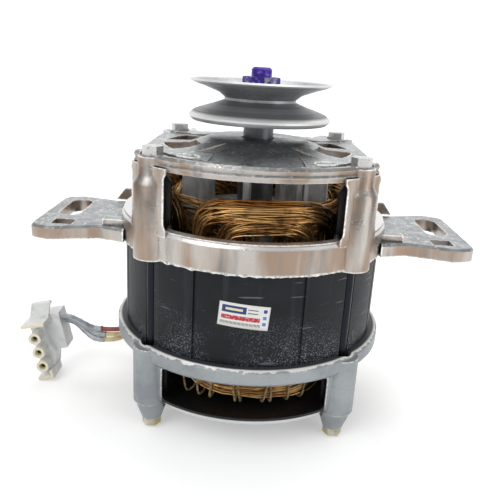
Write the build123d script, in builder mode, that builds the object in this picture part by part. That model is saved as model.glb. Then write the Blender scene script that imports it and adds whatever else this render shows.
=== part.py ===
from build123d import *
import os
from math import cos, dist, radians, sin, sqrt, tan

# Washing machine motor, in millimetres. The shaft is the Z axis and the feet stand on z = 0.
# The front window faces -Y and the mounting ears point along X.

overrun = 2.0  # how far cutters run past what they cut
seat_clearance = 0.3  # gap between pieces that are seated by something else
standing = (Align.CENTER, Align.CENTER, Align.MIN)

# Through bolts and their nuts, which are the feet
bolt_pitch = 90.0
bolt_diameter = 5.0
bolt_hole_diameter = 5.6
bolt_head_width = 8.0
bolt_head_height = 4.3
bolt_tip_length = 1.6
bolt_tip_chamfer = 0.8
foot_nut_width = 8.0
foot_nut_height = 4.0

# Levels of the main castings and the core
leg_height = 40.5
core_length = 51.0
core_rabbet = 3.6
upper_shield_height = 44.6

leg_bottom_z = bolt_tip_length + foot_nut_height
rim_z = leg_bottom_z + leg_height
core_bottom_z = rim_z - core_rabbet
core_top_z = core_bottom_z + core_length
skirt_bottom_z = core_top_z - core_rabbet
seat_z = skirt_bottom_z + upper_shield_height

# Stator core
core_radius = 65.0
core_bore_radius = 38.0
slot_count = 24
slot_width = 5.4
slot_bottom_radius = 51.2
slot_top_radius = 40.2
slot_mouth_width = 2.4
bolt_groove_radius = 3.4
seam_width = 1.6
seam_depth = 0.8
seam_angle = 21.5

# Slot liners and wedges
liner_thickness = 0.3
liner_collar = 2.4
wedge_thickness = 1.0

# Main winding
pole_angle = 7.5
wire_diameter = 1.9
wire_sides = 6
loops_per_pole = 6
inner_coil_slots = 3
outer_coil_slots = 5
leg_radii = (44.6, 46.1, 49.6)
leg_sides = (-1, 1, 1)
crown_first_radius = 48.5
crown_radius_step = 0.95
upper_crown_first = 11.5
upper_crown_step = 2.6
lower_crown_first = 9.0
lower_crown_step = 2.6
gap_samples = 1500

# Start winding, a plain bundle behind the main coils
start_winding_inner_radius = 39.4
start_winding_outer_radius = 43.2
start_winding_upper_height = 20.0
start_winding_lower_height = 17.0
start_winding_round = 1.8

# Lacing round the lower end turns

# Shaft
shaft_journal_diameter = 15.0
shaft_shoulder_diameter = 18.0
shaft_rotor_diameter = 20.0
pulley_seat_diameter = 12.0
shaft_thread_diameter = 10.0
shaft_thread_chamfer = 1.0
shaft_end_above_seat = 38.2
shaft_end_overhang = 1.2

# Sealed ball bearings
bearing_outer_diameter = 35.0
bearing_width = 11.0
race_thickness = 2.9
race_chamfer = 0.6
seal_thickness = 0.8
seal_depth = 0.4
seal_clearance = 0.05
wave_washer_thickness = 0.5
wave_washer_width = 2.2

# Rotor
air_gap = 0.35
end_ring_height = 8.0
end_ring_inner_radius = 24.0
bar_count = 22
bar_width = 3.0
bar_inner_radius = 28.0
bar_outer_radius = 35.5
blade_count = 9
blade_angle = -6.5
blade_inner_radius = 28.0
blade_outer_radius = 37.2
blade_thickness = 2.8
blade_top_below_seat = 9.4
blade_tip_round = 1.3

# Pulley
pulley_rim_radius = 34.8
pulley_root_radius = 17.6
pulley_bottom_above_seat = 12.6
pulley_height = 19.3
groove_root_height = 10.4
groove_root_land = 1.2
upper_face_shares = ((0.17, 0.34), (0.6, 0.75), (0.84, 0.93))
upper_lip = 1.6
lower_rim_height = 3.6
lower_rim_round = 1.7
lower_face_shares = ((0.3, 0.32), (0.64, 0.62), (0.86, 0.84))
dish_floor_height = 11.6
dish_floor_radius = 13.0
dish_edge_radius = 32.0
hub_face_radius = 10.5
lower_recess_depth = 1.8
lower_recess_radius = 30.5

# Pulley nut, washer and key
nut_width = 16.0
nut_height = 8.0
nut_chamfer = 0.9
nut_washer_diameter = 20.0
nut_washer_thickness = 1.6
key_width = 4.0
key_height = 4.0
key_length = 9.0

# Upper end shield
skirt_wall = 2.0
wall_lip = 3.0
wall_thickness = 4.0
skirt_height = 12.4
rail_bulge = 1.0
rail_height = 3.4
rail_edge = 1.4
top_plate_thickness = 3.6
top_plate_below_seat = 0.3
plate_edge_inset = 4.0
rail_top_inset = 2.0
dome_height = 4.5
dome_top_radius = 24.5
dome_round = 1.6
dome_foot_radius = 34.0
dome_foot_height = 1.2
shaft_hole_radius = 8.3
bearing_boss_wall = 4.0
bearing_roof = 4.0
bearing_boss_overhang = 0.8
column_radius = 8.6
column_top_drop = 12.0
column_shoulder = 4.0
cap_radius = 6.4
window_half_width = 38.6
window_bottom_above_skirt = 13.4
window_height = 26.0
window_corner = 3.5
window_cut_start = 47.5
jamb_proud = 1.6
jamb_near_angle = 34.0
jamb_far_angle = 41.0
arm_root_radius = 30.0
arm_root_half_width = 3.2
arm_front_spread = 25.0
arm_side_spread = 6.0
arm_end_radius = 60.0
arm_height = 1.2
arm_ridge_half_width = 4.6
vent_inner_radius = 30.5
vent_outer_radius = 46.5
vent_angle_from_side = 6.0
vent_angle_width = 27.0
pad_length = 9.0
pad_width = 3.6
pad_height = 0.8
pad_radius = 59.0
pad_angle = 22.5

# Mounting ears of the upper end shield
ear_tip_reach = 41.0
ear_thickness = 6.5
ear_top_below_seat = 39.2
ear_neck_reach = 8.0
ear_neck_half_width = 26.5
ear_flare_reach = 31.0
ear_flare_half_width = 33.0
ear_tip_cut = 4.0
ear_root_half_width = 31.0
ear_centre_y = 2.5
ear_corner = 7.0
ear_edge_round = 1.2
ear_slot_width = 11.2
ear_slot_length = 33.0
ear_slot_reach = 28.4
ear_slot_y = 9.5
ear_hole_length = 10.0
ear_hole_width = 9.0
ear_hole_reach = 26.2
ear_hole_y = -19.5
front_rib_reach = 6.5
front_rib_y = -19.0
front_rib_width = 6.0
front_rib_height = 3.0
rear_rib_reach = 12.0
rear_rib_y = 34.0
rear_rib_width = 4.0
rear_rib_height = 6.6
rear_rib_slope = 5.0

# Lower end shield
rim_wall = 4.5
rim_step = 2.0
lower_wall_lip = 2.5
rim_band_height = 7.8
rim_edge_round = 1.2
rim_pocket_radius = 5.2
sill_z = 20.2
floor_top_z = 18.8
floor_thickness = 3.5
floor_edge_round = 4.0
lower_window_half_width = 38.5
lower_window_corner = 2.2
leg_radius = 8.4
leg_cone_height = 10.0
leg_foot_radius = 4.9
leg_outset = 0.4
lower_boss_floor = 5.6
lower_bearing_bottom_z = 20.0
shaft_end_recess = 2.4

# Leads from the lower end turns to the plug
lead_diameter = 2.6
sleeve_diameter = 3.2
lead_sides = 8
lead_routes = {
    "red": [
        (-44.6, -3.4, 37.6), (-52.0, -3.2, 36.8), (-60.0, -2.4, 32.8), (-67.6, -0.8, 29.8),
        (-74.4, 0.3, 28.3), (-80.6, 1.0, 27.9),
    ],
    "cream_1": [
        (-44.6, 0.6, 37.6), (-51.6, 0.7, 36.6), (-58.6, 1.0, 31.6), (-65.6, 1.2, 26.9), (-72.4, 1.5, 24.6),
        (-78.6, 1.8, 24.4),
    ],
    "cream_2": [
        (-44.6, 4.8, 37.6), (-51.6, 4.8, 36.6), (-58.8, 4.6, 32.1), (-64.4, 4.2, 26.3), (-69.6, 3.4, 22.6),
        (-74.8, 2.9, 20.7), (-80.0, 2.6, 20.7),
    ],
}
sleeve_routes = {
    1: [(-91.6, 1.4, 30.6), (-98.6, 1.6, 34.2), (-105.4, 1.6, 35.0)],
    2: [(-91.0, 4.2, 27.2), (-98.4, 5.0, 31.2), (-105.2, 5.0, 32.4)],
    3: [(-91.6, 5.4, 23.6), (-98.0, 8.2, 28.4), (-104.8, 8.4, 29.8)],
}
sleeve_first_run = 5.4

# Plug: its sockets face the front and their row leans to the left
plug_x = -109.0
plug_front_y = -12.0
plug_lean = -12.0
plug_pitch = 8.3
plug_first_socket_height = 9.6
socket_outer_radius = 3.35
socket_bore_radius = 1.85
socket_length = 11.0
socket_web_depth = 7.0
plug_body_depth = 6.0
plug_body_half_width = 3.7
plug_body_bottom = 4.6
plug_body_top = 33.0
side_fin_width = 2.6
side_fin_height = 9.0
shroud_depth = 11.0
shroud_side = 12.0
shroud_bottom = 14.0
shroud_top = 35.4
shroud_step_height = 5.0
flange_thickness = 1.6
flange_left = -5.6
flange_right = 7.0
flange_depth = 14.0
latch_height = 9.0
latch_width = 10.6
latch_thickness = 1.6
latch_shift = 3.6
latch_bead = 0.8
hook_thickness = 1.6
hook_depth = 14.0
hook_left = -4.0
hook_right = 4.6
hook_bottom = 1.6
contact_outer_radius = 1.6
contact_bore_radius = 1.1
contact_recess = 2.0


def point_at(radius, angle, height=0.0):
    """The point at a radius and an angle about the shaft, counted from +X."""
    return Vector(radius * cos(radians(angle)), radius * sin(radians(angle)), height)


def side_plane(turn, distance, height=0.0):
    """The upright plane at a distance from the shaft that faces outwards, -Y at no turn."""
    outwards = Vector(0, -1, 0).rotate(Axis.Z, turn)
    sideways = Vector(1, 0, 0).rotate(Axis.Z, turn)
    return Plane(origin=outwards * distance + Vector(0, 0, height), x_dir=sideways, z_dir=outwards)


def radial_plane(angle):
    """The upright plane through the shaft whose own x runs outwards at the angle."""
    outwards = point_at(1, angle)
    return Plane(origin=(0, 0, 0), x_dir=outwards, z_dir=outwards.cross(Vector(0, 0, 1)))


def sector(inner, outer, start, width):
    """A face between two radii and two angles, in the open sketch."""
    with BuildLine() as border:
        CenterArc((0, 0), outer, start, width)
        Line(point_at(outer, start + width), point_at(inner, start + width))
        CenterArc((0, 0), inner, start, width)
        Line(point_at(inner, start), point_at(outer, start))
    make_face(border.edges())


def outline(*points):
    """A closed face with straight sides through the points, in the open sketch."""
    Polygon(*points, align=None)


def biarc(start, start_way, end, end_way):
    """Two arcs in the open line, tangent to start_way at start and to end_way at end."""
    across = end - start
    both = start_way + end_way
    spread = 2 * (1 - start_way.dot(end_way))
    along = across.dot(both)
    reach = (sqrt(along * along + spread * across.dot(across)) - along) / spread
    first_corner = start + start_way * reach
    last_corner = end - end_way * reach
    middle = (first_corner + last_corner) * 0.5
    TangentArc(start, middle, tangent=start_way)
    TangentArc(middle, end, tangent=last_corner - first_corner)


def least_gap(line, diameter, reach, samples):
    """The least gap between stretches of a tube that are further apart along it than reach."""
    points = [tuple(line @ (i / samples)) for i in range(samples + 1)]
    skip = int(reach / line.length * samples) + 1
    return min(dist(one, other) for i, one in enumerate(points) for other in points[i + skip:]) - diameter


# Upper end shield

arm_spreads = (
    (45, arm_side_spread, arm_side_spread),
    (135, arm_side_spread, arm_side_spread),
    (225, arm_side_spread, arm_front_spread),
    (315, arm_front_spread, arm_side_spread),
)
skirt_radius = core_radius + skirt_wall
wall_inner_radius = core_radius - wall_lip
wall_radius = wall_inner_radius + wall_thickness
plate_edge_radius = wall_radius - plate_edge_inset
rail_top_radius = wall_radius - rail_top_inset
jamb_radius = wall_radius + jamb_proud
ear_root_x = wall_inner_radius
ear_neck_x = skirt_radius + ear_neck_reach
ear_flare_x = skirt_radius + ear_flare_reach
ear_tip_x = skirt_radius + ear_tip_reach
ear_slot_x = skirt_radius + ear_slot_reach
ear_hole_x = skirt_radius + ear_hole_reach
front_rib_x = skirt_radius + front_rib_reach
rear_rib_x = skirt_radius + rear_rib_reach
plate_top_z = seat_z - top_plate_below_seat
plate_bottom_z = plate_top_z - top_plate_thickness
dome_top_z = seat_z + dome_height
bearing_radius = bearing_outer_diameter / 2
upper_bearing_top_z = dome_top_z - bearing_roof - wave_washer_thickness
upper_bearing_bottom_z = upper_bearing_top_z - bearing_width
upper_boss_bottom_z = upper_bearing_bottom_z - bearing_boss_overhang
boss_radius = bearing_radius + bearing_boss_wall
skirt_top_z = skirt_bottom_z + skirt_height
window_bottom_z = skirt_bottom_z + window_bottom_above_skirt
window_top_z = window_bottom_z + window_height
rail_bottom_z = plate_top_z - rail_height
bolt_circle = bolt_pitch / 2 * sqrt(2)
ear_top_z = seat_z - ear_top_below_seat
ear_bottom_z = ear_top_z - ear_thickness
column_top_z = seat_z - column_top_drop

with BuildPart() as upper_end_shield:
    with BuildSketch(Plane.XZ):
        outline(
            (shaft_hole_radius, dome_top_z),
            (dome_top_radius, dome_top_z),
            (dome_top_radius + dome_round, dome_top_z - dome_round / 2),
            (dome_foot_radius, plate_top_z + dome_foot_height),
            (plate_edge_radius, plate_top_z),
            (rail_top_radius, plate_top_z + rail_edge),
            (wall_radius, plate_top_z + rail_edge),
            (wall_radius + rail_bulge, plate_top_z),
            (wall_radius + rail_bulge / 4, rail_bottom_z + rail_height / 2),
            (wall_radius + rail_bulge, rail_bottom_z + rail_height / 4),
            (wall_radius, rail_bottom_z - rail_edge),
            (wall_radius, skirt_top_z),
            (skirt_radius, skirt_top_z - rail_edge),
            (skirt_radius, skirt_bottom_z),
            (wall_inner_radius, skirt_bottom_z),
            (wall_inner_radius, plate_bottom_z),
            (boss_radius, plate_bottom_z),
            (boss_radius, upper_boss_bottom_z),
            (bearing_radius, upper_boss_bottom_z),
            (bearing_radius, dome_top_z - bearing_roof),
            (shaft_hole_radius, dome_top_z - bearing_roof),
        )
    revolve(axis=Axis.Z)
    # four flared arms, each with a ridge that runs from the dome to its bolt
    for turn, before, after in arm_spreads:
        outwards = point_at(1, turn)
        across = point_at(arm_root_half_width, turn + 90)
        with BuildSketch(Plane.XY.offset(plate_bottom_z)):
            outline(
                outwards * arm_root_radius + across,
                point_at(arm_end_radius, turn + after),
                point_at(arm_end_radius, turn - before),
                outwards * arm_root_radius - across,
            )
        extrude(amount=top_plate_thickness + arm_height)
        with BuildSketch(radial_plane(turn)):
            outline(
                (boss_radius + boss_radius - bearing_radius, plate_bottom_z),
                (boss_radius + boss_radius - bearing_radius, dome_top_z - dome_round / 2),
                (dome_top_radius + dome_round, dome_top_z - dome_round / 2),
                (arm_root_radius + column_radius, plate_top_z + arm_height + dome_round / 2),
                (bolt_circle - cap_radius, seat_z - dome_round / 2),
                (bolt_circle, seat_z - dome_round / 2),
                (bolt_circle, plate_bottom_z),
            )
        extrude(amount=arm_ridge_half_width, both=True)
    # columns round the bolts, each with a narrower cap under the bolt head
    with BuildSketch(Plane.XY.offset(ear_bottom_z)):
        with GridLocations(bolt_pitch, bolt_pitch, 2, 2):
            Circle(column_radius)
    extrude(amount=column_top_z - ear_bottom_z)
    with BuildSketch(Plane.XY.offset(column_top_z)):
        with GridLocations(bolt_pitch, bolt_pitch, 2, 2):
            Circle(cap_radius)
    extrude(amount=column_top_drop)
    with Locations((0, 0, column_top_z)):
        with GridLocations(bolt_pitch, bolt_pitch, 2, 2):
            Cone(column_radius, cap_radius, column_shoulder, align=standing)
    # jamb bars beside the windows
    with BuildSketch(Plane.XY.offset(skirt_top_z - rail_edge)):
        for turn in range(0, 360, 90):
            for start in (turn + 90 - jamb_far_angle, turn + 90 + jamb_near_angle):
                sector(wall_inner_radius, jamb_radius, start, jamb_far_angle - jamb_near_angle)
    extrude(amount=rail_bottom_z + rail_edge - skirt_top_z)
    # mounting ears with their root ribs
    for side in (-1, 1):
        with BuildSketch(Plane.XY.offset(ear_bottom_z)) as ear_face:
            outline(
                (side * ear_root_x, ear_centre_y - ear_root_half_width),
                (side * ear_neck_x, ear_centre_y - ear_neck_half_width),
                (side * ear_flare_x, ear_centre_y - ear_flare_half_width),
                (side * ear_tip_x, ear_centre_y - ear_flare_half_width + ear_tip_cut),
                (side * ear_tip_x, ear_centre_y + ear_flare_half_width - ear_tip_cut),
                (side * ear_flare_x, ear_centre_y + ear_flare_half_width),
                (side * ear_neck_x, ear_centre_y + ear_neck_half_width),
                (side * ear_root_x, ear_centre_y + ear_root_half_width),
            )
            corners = ear_face.vertices().filter_by(lambda v: abs(v.X) > ear_neck_x - seat_clearance)
            fillet(corners, radius=ear_corner)
        extrude(amount=ear_thickness)
        rim_edges = upper_end_shield.edges().filter_by_position(Axis.Z, ear_top_z, ear_top_z)
        outer_edges = [e for e in rim_edges if side * e.center().X > ear_neck_x]
        chamfer(outer_edges, length=ear_edge_round)
        with BuildSketch(Plane.XY.offset(ear_bottom_z)):
            with Locations((side * ear_slot_x, ear_slot_y)):
                SlotOverall(ear_slot_length, ear_slot_width, rotation=90)
            with Locations((side * ear_hole_x, ear_hole_y)):
                Rectangle(ear_hole_length, ear_hole_width)
        extrude(amount=ear_thickness, mode=Mode.SUBTRACT)
        with BuildSketch(Plane.XY.offset(ear_top_z)):
            with Locations((side * (ear_root_x + front_rib_x) / 2, front_rib_y)):
                Rectangle(front_rib_x - ear_root_x, front_rib_width)
        extrude(amount=front_rib_height)
        with BuildSketch(Plane.XZ.offset(-rear_rib_y - rear_rib_width / 2)):
            outline(
                (side * (ear_root_x - column_radius), ear_top_z),
                (side * rear_rib_x, ear_top_z),
                (side * (rear_rib_x - rear_rib_slope), ear_top_z + rear_rib_height),
                (side * (ear_root_x - column_radius), ear_top_z + rear_rib_height),
            )
        extrude(amount=rear_rib_width)
    # two blank oval pads on the front of the top plate
    with BuildSketch(Plane.XY.offset(plate_top_z)):
        for turn in (270 - pad_angle, 270 + pad_angle):
            with Locations(point_at(pad_radius, turn)):
                Ellipse(pad_length / 2, pad_width / 2, rotation=turn + 90)
    extrude(amount=pad_height)
    # the space of the core and the room inside the wall
    with BuildSketch(Plane.XY.offset(ear_bottom_z)):
        Circle(core_radius)
    extrude(amount=core_top_z - ear_bottom_z, mode=Mode.SUBTRACT)
    # windows, vents and bolt holes
    for turn in range(0, 360, 90):
        with BuildSketch(side_plane(turn, window_cut_start, (window_bottom_z + window_top_z) / 2)):
            RectangleRounded(2 * window_half_width, window_height, window_corner)
        extrude(amount=jamb_radius, mode=Mode.SUBTRACT)
    with BuildSketch(Plane.XY.offset(plate_bottom_z - overrun)):
        for turn in (0, 180):
            for start in (turn + vent_angle_from_side, turn - vent_angle_from_side - vent_angle_width):
                sector(vent_inner_radius, vent_outer_radius, start, vent_angle_width)
    extrude(amount=top_plate_thickness + dome_height + 2 * overrun, mode=Mode.SUBTRACT)
    with BuildSketch(Plane.XY.offset(ear_bottom_z)):
        with GridLocations(bolt_pitch, bolt_pitch, 2, 2):
            Circle(bolt_hole_diameter / 2)
    extrude(amount=seat_z - ear_bottom_z, mode=Mode.SUBTRACT)
    with BuildSketch(Plane.XY.offset(seat_z)):
        with GridLocations(bolt_pitch, bolt_pitch, 2, 2):
            Circle(cap_radius)
    extrude(amount=bolt_head_height, mode=Mode.SUBTRACT)

upper_end_shield.part.label = "upper_end_shield"


# Lower end shield

rim_outer_radius = core_radius + rim_wall
lower_wall_radius = rim_outer_radius - rim_step
lower_wall_inner_radius = core_radius - lower_wall_lip
floor_bottom_z = floor_top_z - floor_thickness
lower_bearing_top_z = lower_bearing_bottom_z + bearing_width
lower_boss_bottom_z = lower_bearing_bottom_z - lower_boss_floor
lower_window_top_z = rim_z - rim_band_height

with BuildPart() as lower_end_shield:
    with BuildSketch(Plane.XZ):
        outline(
            (lower_wall_inner_radius, rim_z),
            (rim_outer_radius - rim_edge_round, rim_z),
            (rim_outer_radius, rim_z - rim_edge_round),
            (rim_outer_radius, lower_window_top_z + rim_edge_round),
            (lower_wall_radius, lower_window_top_z - rim_edge_round),
            (lower_wall_radius - rim_edge_round, floor_top_z),
            (lower_wall_radius - floor_edge_round, floor_bottom_z),
            (boss_radius, floor_bottom_z),
            (boss_radius - rim_edge_round, lower_boss_bottom_z),
            (0, lower_boss_bottom_z),
            (0, lower_bearing_bottom_z - shaft_end_recess),
            (bearing_radius - race_thickness, lower_bearing_bottom_z - shaft_end_recess),
            (bearing_radius - race_thickness, lower_bearing_bottom_z),
            (bearing_radius, lower_bearing_bottom_z),
            (bearing_radius, lower_bearing_top_z + bearing_boss_overhang),
            (boss_radius, lower_bearing_top_z + bearing_boss_overhang),
            (boss_radius, floor_top_z),
            (lower_wall_inner_radius, floor_top_z),
        )
    revolve(axis=Axis.Z)
    # four legs that narrow to the foot nuts
    with BuildSketch(Plane.XY.offset(leg_bottom_z + leg_cone_height)):
        with GridLocations(bolt_pitch + 2 * leg_outset, bolt_pitch + 2 * leg_outset, 2, 2):
            Circle(leg_radius)
    extrude(amount=rim_z - leg_bottom_z - leg_cone_height - rim_edge_round)
    with Locations((0, 0, leg_bottom_z)):
        with GridLocations(bolt_pitch, bolt_pitch, 2, 2):
            Cone(leg_foot_radius, leg_radius, leg_cone_height, align=standing)
    # the space of the core, pockets round the bolts, windows and bolt holes
    with BuildSketch(Plane.XY.offset(core_bottom_z)):
        Circle(core_radius)
        with GridLocations(bolt_pitch, bolt_pitch, 2, 2):
            Circle(rim_pocket_radius)
    extrude(amount=core_rabbet + overrun, mode=Mode.SUBTRACT)
    for turn in range(0, 360, 90):
        with BuildSketch(side_plane(turn, window_cut_start, (sill_z + lower_window_top_z) / 2)):
            RectangleRounded(2 * lower_window_half_width, lower_window_top_z - sill_z, lower_window_corner)
        extrude(amount=rim_outer_radius, mode=Mode.SUBTRACT)
    with BuildSketch(Plane.XY.offset(leg_bottom_z)):
        with GridLocations(bolt_pitch, bolt_pitch, 2, 2):
            Circle(bolt_hole_diameter / 2)
    extrude(amount=leg_height, mode=Mode.SUBTRACT)

lower_end_shield.part.label = "lower_end_shield"


# Stator core with its slots, liners and wedges

slot_angle = 360 / slot_count
slot_length = slot_bottom_radius - slot_top_radius

with BuildPart() as stator_core:
    with BuildSketch(Plane.XY.offset(core_bottom_z)):
        Circle(core_radius)
        Circle(core_bore_radius, mode=Mode.SUBTRACT)
        with PolarLocations(slot_top_radius + slot_length / 2, slot_count):
            Rectangle(slot_length, slot_width, mode=Mode.SUBTRACT)
        with PolarLocations(slot_top_radius - overrun, slot_count):
            Rectangle(2 * overrun + seat_clearance, slot_mouth_width, mode=Mode.SUBTRACT)
        with GridLocations(bolt_pitch, bolt_pitch, 2, 2):
            Circle(bolt_groove_radius, mode=Mode.SUBTRACT)
        for quarter in range(4):
            for side in (-1, 1):
                with PolarLocations(core_radius, 1, start_angle=90 * quarter + side * seam_angle):
                    Rectangle(2 * seam_depth, seam_width, mode=Mode.SUBTRACT)
    extrude(amount=core_length)

stator_core.part.label = "stator_core"

with BuildPart() as slot_liners:
    with BuildSketch(Plane.XY.offset(core_bottom_z - liner_collar)):
        with PolarLocations((slot_top_radius + wedge_thickness + slot_bottom_radius) / 2, slot_count):
            Rectangle(slot_length - wedge_thickness, slot_width)
        with PolarLocations(slot_top_radius + (slot_length - liner_thickness) / 2, slot_count):
            Rectangle(slot_length - liner_thickness, slot_width - 2 * liner_thickness, mode=Mode.SUBTRACT)
    extrude(amount=core_length + 2 * liner_collar)

slot_liners.part.label = "slot_liners"

with BuildPart() as slot_wedges:
    with BuildSketch(Plane.XY.offset(core_bottom_z - liner_collar)):
        with PolarLocations(slot_top_radius + wedge_thickness / 2, slot_count):
            Rectangle(wedge_thickness, slot_width)
    extrude(amount=core_length + 2 * liner_collar)

slot_wedges.part.label = "slot_wedges"


# Main winding: each pole is one unbroken tube that loops through its slots and over the core's ends

leg_side_step = (slot_width - 2 * liner_thickness - 2 * seat_clearance - wire_diameter) / 2
inner_half_angle = inner_coil_slots * slot_angle / 2
outer_half_angle = outer_coil_slots * slot_angle / 2
half_loops = loops_per_pole // 2


def leg_point(centre_angle, half_angle, place, height):
    """Where a wire stands in a slot, towards the middle of its pole or away from it."""
    angle = centre_angle + half_angle
    sideways = leg_side_step * leg_sides[place] * (1 if half_angle > 0 else -1)
    return point_at(leg_radii[place], angle, height) + point_at(sideways, angle + 90)


def pole_line(centre_angle):
    """The wire of one pole, from the inner loops to the outer ones."""
    up = Vector(0, 0, 1)
    down = Vector(0, 0, -1)
    bottom = core_bottom_z - liner_collar
    top = core_top_z + liner_collar
    onwards = point_at(1, centre_angle + 90)
    with BuildLine() as line:
        for loop in range(loops_per_pole):
            place = loop % half_loops
            half_angle = inner_half_angle if loop < half_loops else outer_half_angle
            upper_crown = core_top_z + upper_crown_first + upper_crown_step * loop
            lower_crown = core_bottom_z - lower_crown_first - lower_crown_step * loop
            up_bottom = leg_point(centre_angle, -half_angle, place, bottom)
            up_top = leg_point(centre_angle, -half_angle, place, top)
            down_top = leg_point(centre_angle, half_angle, place, top)
            down_bottom = leg_point(centre_angle, half_angle, place, bottom)
            crown = point_at(crown_first_radius + crown_radius_step * loop, centre_angle, upper_crown)
            Line(up_bottom, up_top)
            biarc(up_top, up, crown, onwards)
            biarc(crown, onwards, down_top, down)
            Line(down_top, down_bottom)
            if loop < loops_per_pole - 1:
                next_half = inner_half_angle if loop + 1 < half_loops else outer_half_angle
                next_bottom = leg_point(centre_angle, -next_half, (loop + 1) % half_loops, bottom)
                middle_radius = crown_first_radius + crown_radius_step * (loop + 0.5)
                crown = point_at(middle_radius, centre_angle, lower_crown)
                biarc(down_bottom, down, crown, onwards * -1)
                biarc(crown, onwards * -1, next_bottom, up)
    return line.wires()[0]


pole_names = ("right", "rear", "left", "front")
main_coils = []
for pole, pole_name in enumerate(pole_names):
    wire_line = pole_line(pole_angle + 90 * pole)
    with BuildPart() as main_coil:
        with BuildSketch(Plane(origin=wire_line @ 0, z_dir=wire_line % 0)):
            RegularPolygon(radius=wire_diameter / 2, side_count=wire_sides)
        sweep(path=wire_line, clean=False)
    main_coil.part.label = "main_coil_" + pole_name
    main_coils.append(main_coil.part)

main_coil_gap = least_gap(wire_line, wire_diameter, 4 * wire_diameter, gap_samples)
print("main coil wire", round(wire_line.length, 1), "least gap", round(main_coil_gap, 3))


# Start winding: the plain bundles that stand behind the main coils

with BuildPart() as start_winding_upper:
    with BuildSketch(Plane.XY.offset(core_top_z + liner_collar + seat_clearance)):
        Circle(start_winding_outer_radius)
        Circle(start_winding_inner_radius, mode=Mode.SUBTRACT)
    extrude(amount=start_winding_upper_height - liner_collar - seat_clearance)
    crest = start_winding_upper.edges().filter_by_position(
        Axis.Z, core_top_z + start_winding_upper_height, core_top_z + start_winding_upper_height
    )
    chamfer(crest, length=start_winding_round)

start_winding_upper.part.label = "start_winding_upper"

with BuildPart() as start_winding_lower:
    with BuildSketch(Plane.XY.offset(core_bottom_z - start_winding_lower_height)):
        Circle(start_winding_outer_radius)
        Circle(start_winding_inner_radius, mode=Mode.SUBTRACT)
    extrude(amount=start_winding_lower_height - liner_collar - seat_clearance)
    crest = start_winding_lower.edges().filter_by_position(
        Axis.Z, core_bottom_z - start_winding_lower_height, core_bottom_z - start_winding_lower_height
    )
    chamfer(crest, length=start_winding_round)

start_winding_lower.part.label = "start_winding_lower"


# Through bolts and foot nuts

with BuildPart() as through_bolts:
    with BuildSketch(Plane.XY):
        with GridLocations(bolt_pitch, bolt_pitch, 2, 2):
            Circle(bolt_diameter / 2)
    extrude(amount=seat_z)
    tips = through_bolts.edges().filter_by_position(Axis.Z, 0, 0)
    chamfer(tips, length=bolt_tip_chamfer)
    with BuildSketch(Plane.XY.offset(seat_z)):
        with GridLocations(bolt_pitch, bolt_pitch, 2, 2):
            RegularPolygon(radius=bolt_head_width / 2, side_count=6, major_radius=False)
    extrude(amount=bolt_head_height)

through_bolts.part.label = "through_bolts"

with BuildPart() as foot_nuts:
    with BuildSketch(Plane.XY.offset(bolt_tip_length)):
        with GridLocations(bolt_pitch, bolt_pitch, 2, 2):
            RegularPolygon(radius=foot_nut_width / 2, side_count=6, major_radius=False)
        with GridLocations(bolt_pitch, bolt_pitch, 2, 2):
            Circle(bolt_diameter / 2, mode=Mode.SUBTRACT)
    extrude(amount=foot_nut_height)

foot_nuts.part.label = "foot_nuts"


# Sealed ball bearings: their balls are closed in between the seals

journal_radius = shaft_journal_diameter / 2


def ring_piece(name, outer, inner, spans):
    """Plain rings between two radii, one for each span of heights."""
    with BuildPart() as rings:
        for bottom, top in spans:
            with BuildSketch(Plane.XY.offset(bottom)):
                Circle(outer)
                Circle(inner, mode=Mode.SUBTRACT)
            extrude(amount=top - bottom)
    rings.part.label = name
    return rings.part


def bearing_pieces(name, bottom):
    """The outer race, inner race and seals of one sealed bearing."""
    top = bottom + bearing_width
    outer_face = bearing_radius - race_thickness
    inner_face = journal_radius + race_thickness
    with BuildPart() as outer_race:
        with BuildSketch(Plane.XZ):
            outline(
                (outer_face, bottom),
                (bearing_radius - race_chamfer, bottom),
                (bearing_radius, bottom + race_chamfer),
                (bearing_radius, top - race_chamfer),
                (bearing_radius - race_chamfer, top),
                (outer_face, top),
            )
        revolve(axis=Axis.Z)
    outer_race.part.label = name + "_outer_race"
    inner_race = ring_piece(name + "_inner_race", inner_face, journal_radius, [(bottom, top)])
    spans = [
        (bottom + seal_depth, bottom + seal_depth + seal_thickness),
        (top - seal_depth - seal_thickness, top - seal_depth),
    ]
    seals = ring_piece(name + "_seals", outer_face, inner_face + seal_clearance, spans)
    return outer_race.part, inner_race, seals


bearing_parts = bearing_pieces("upper_bearing", upper_bearing_bottom_z)
bearing_parts += bearing_pieces("lower_bearing", lower_bearing_bottom_z)

with BuildPart() as wave_washer:
    with BuildSketch(Plane.XY.offset(upper_bearing_top_z)):
        Circle(bearing_radius - seat_clearance)
        Circle(bearing_radius - wave_washer_width, mode=Mode.SUBTRACT)
    extrude(amount=wave_washer_thickness)

wave_washer.part.label = "wave_washer"


# Shaft

pulley_bottom_z = seat_z + pulley_bottom_above_seat
pulley_seat_top_z = pulley_bottom_z + dish_floor_height - nut_washer_thickness / 2
shaft_end_z = seat_z + shaft_end_above_seat
pulley_seat_radius = pulley_seat_diameter / 2
shoulder_radius = shaft_shoulder_diameter / 2
rotor_seat_radius = shaft_rotor_diameter / 2
thread_radius = shaft_thread_diameter / 2

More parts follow.
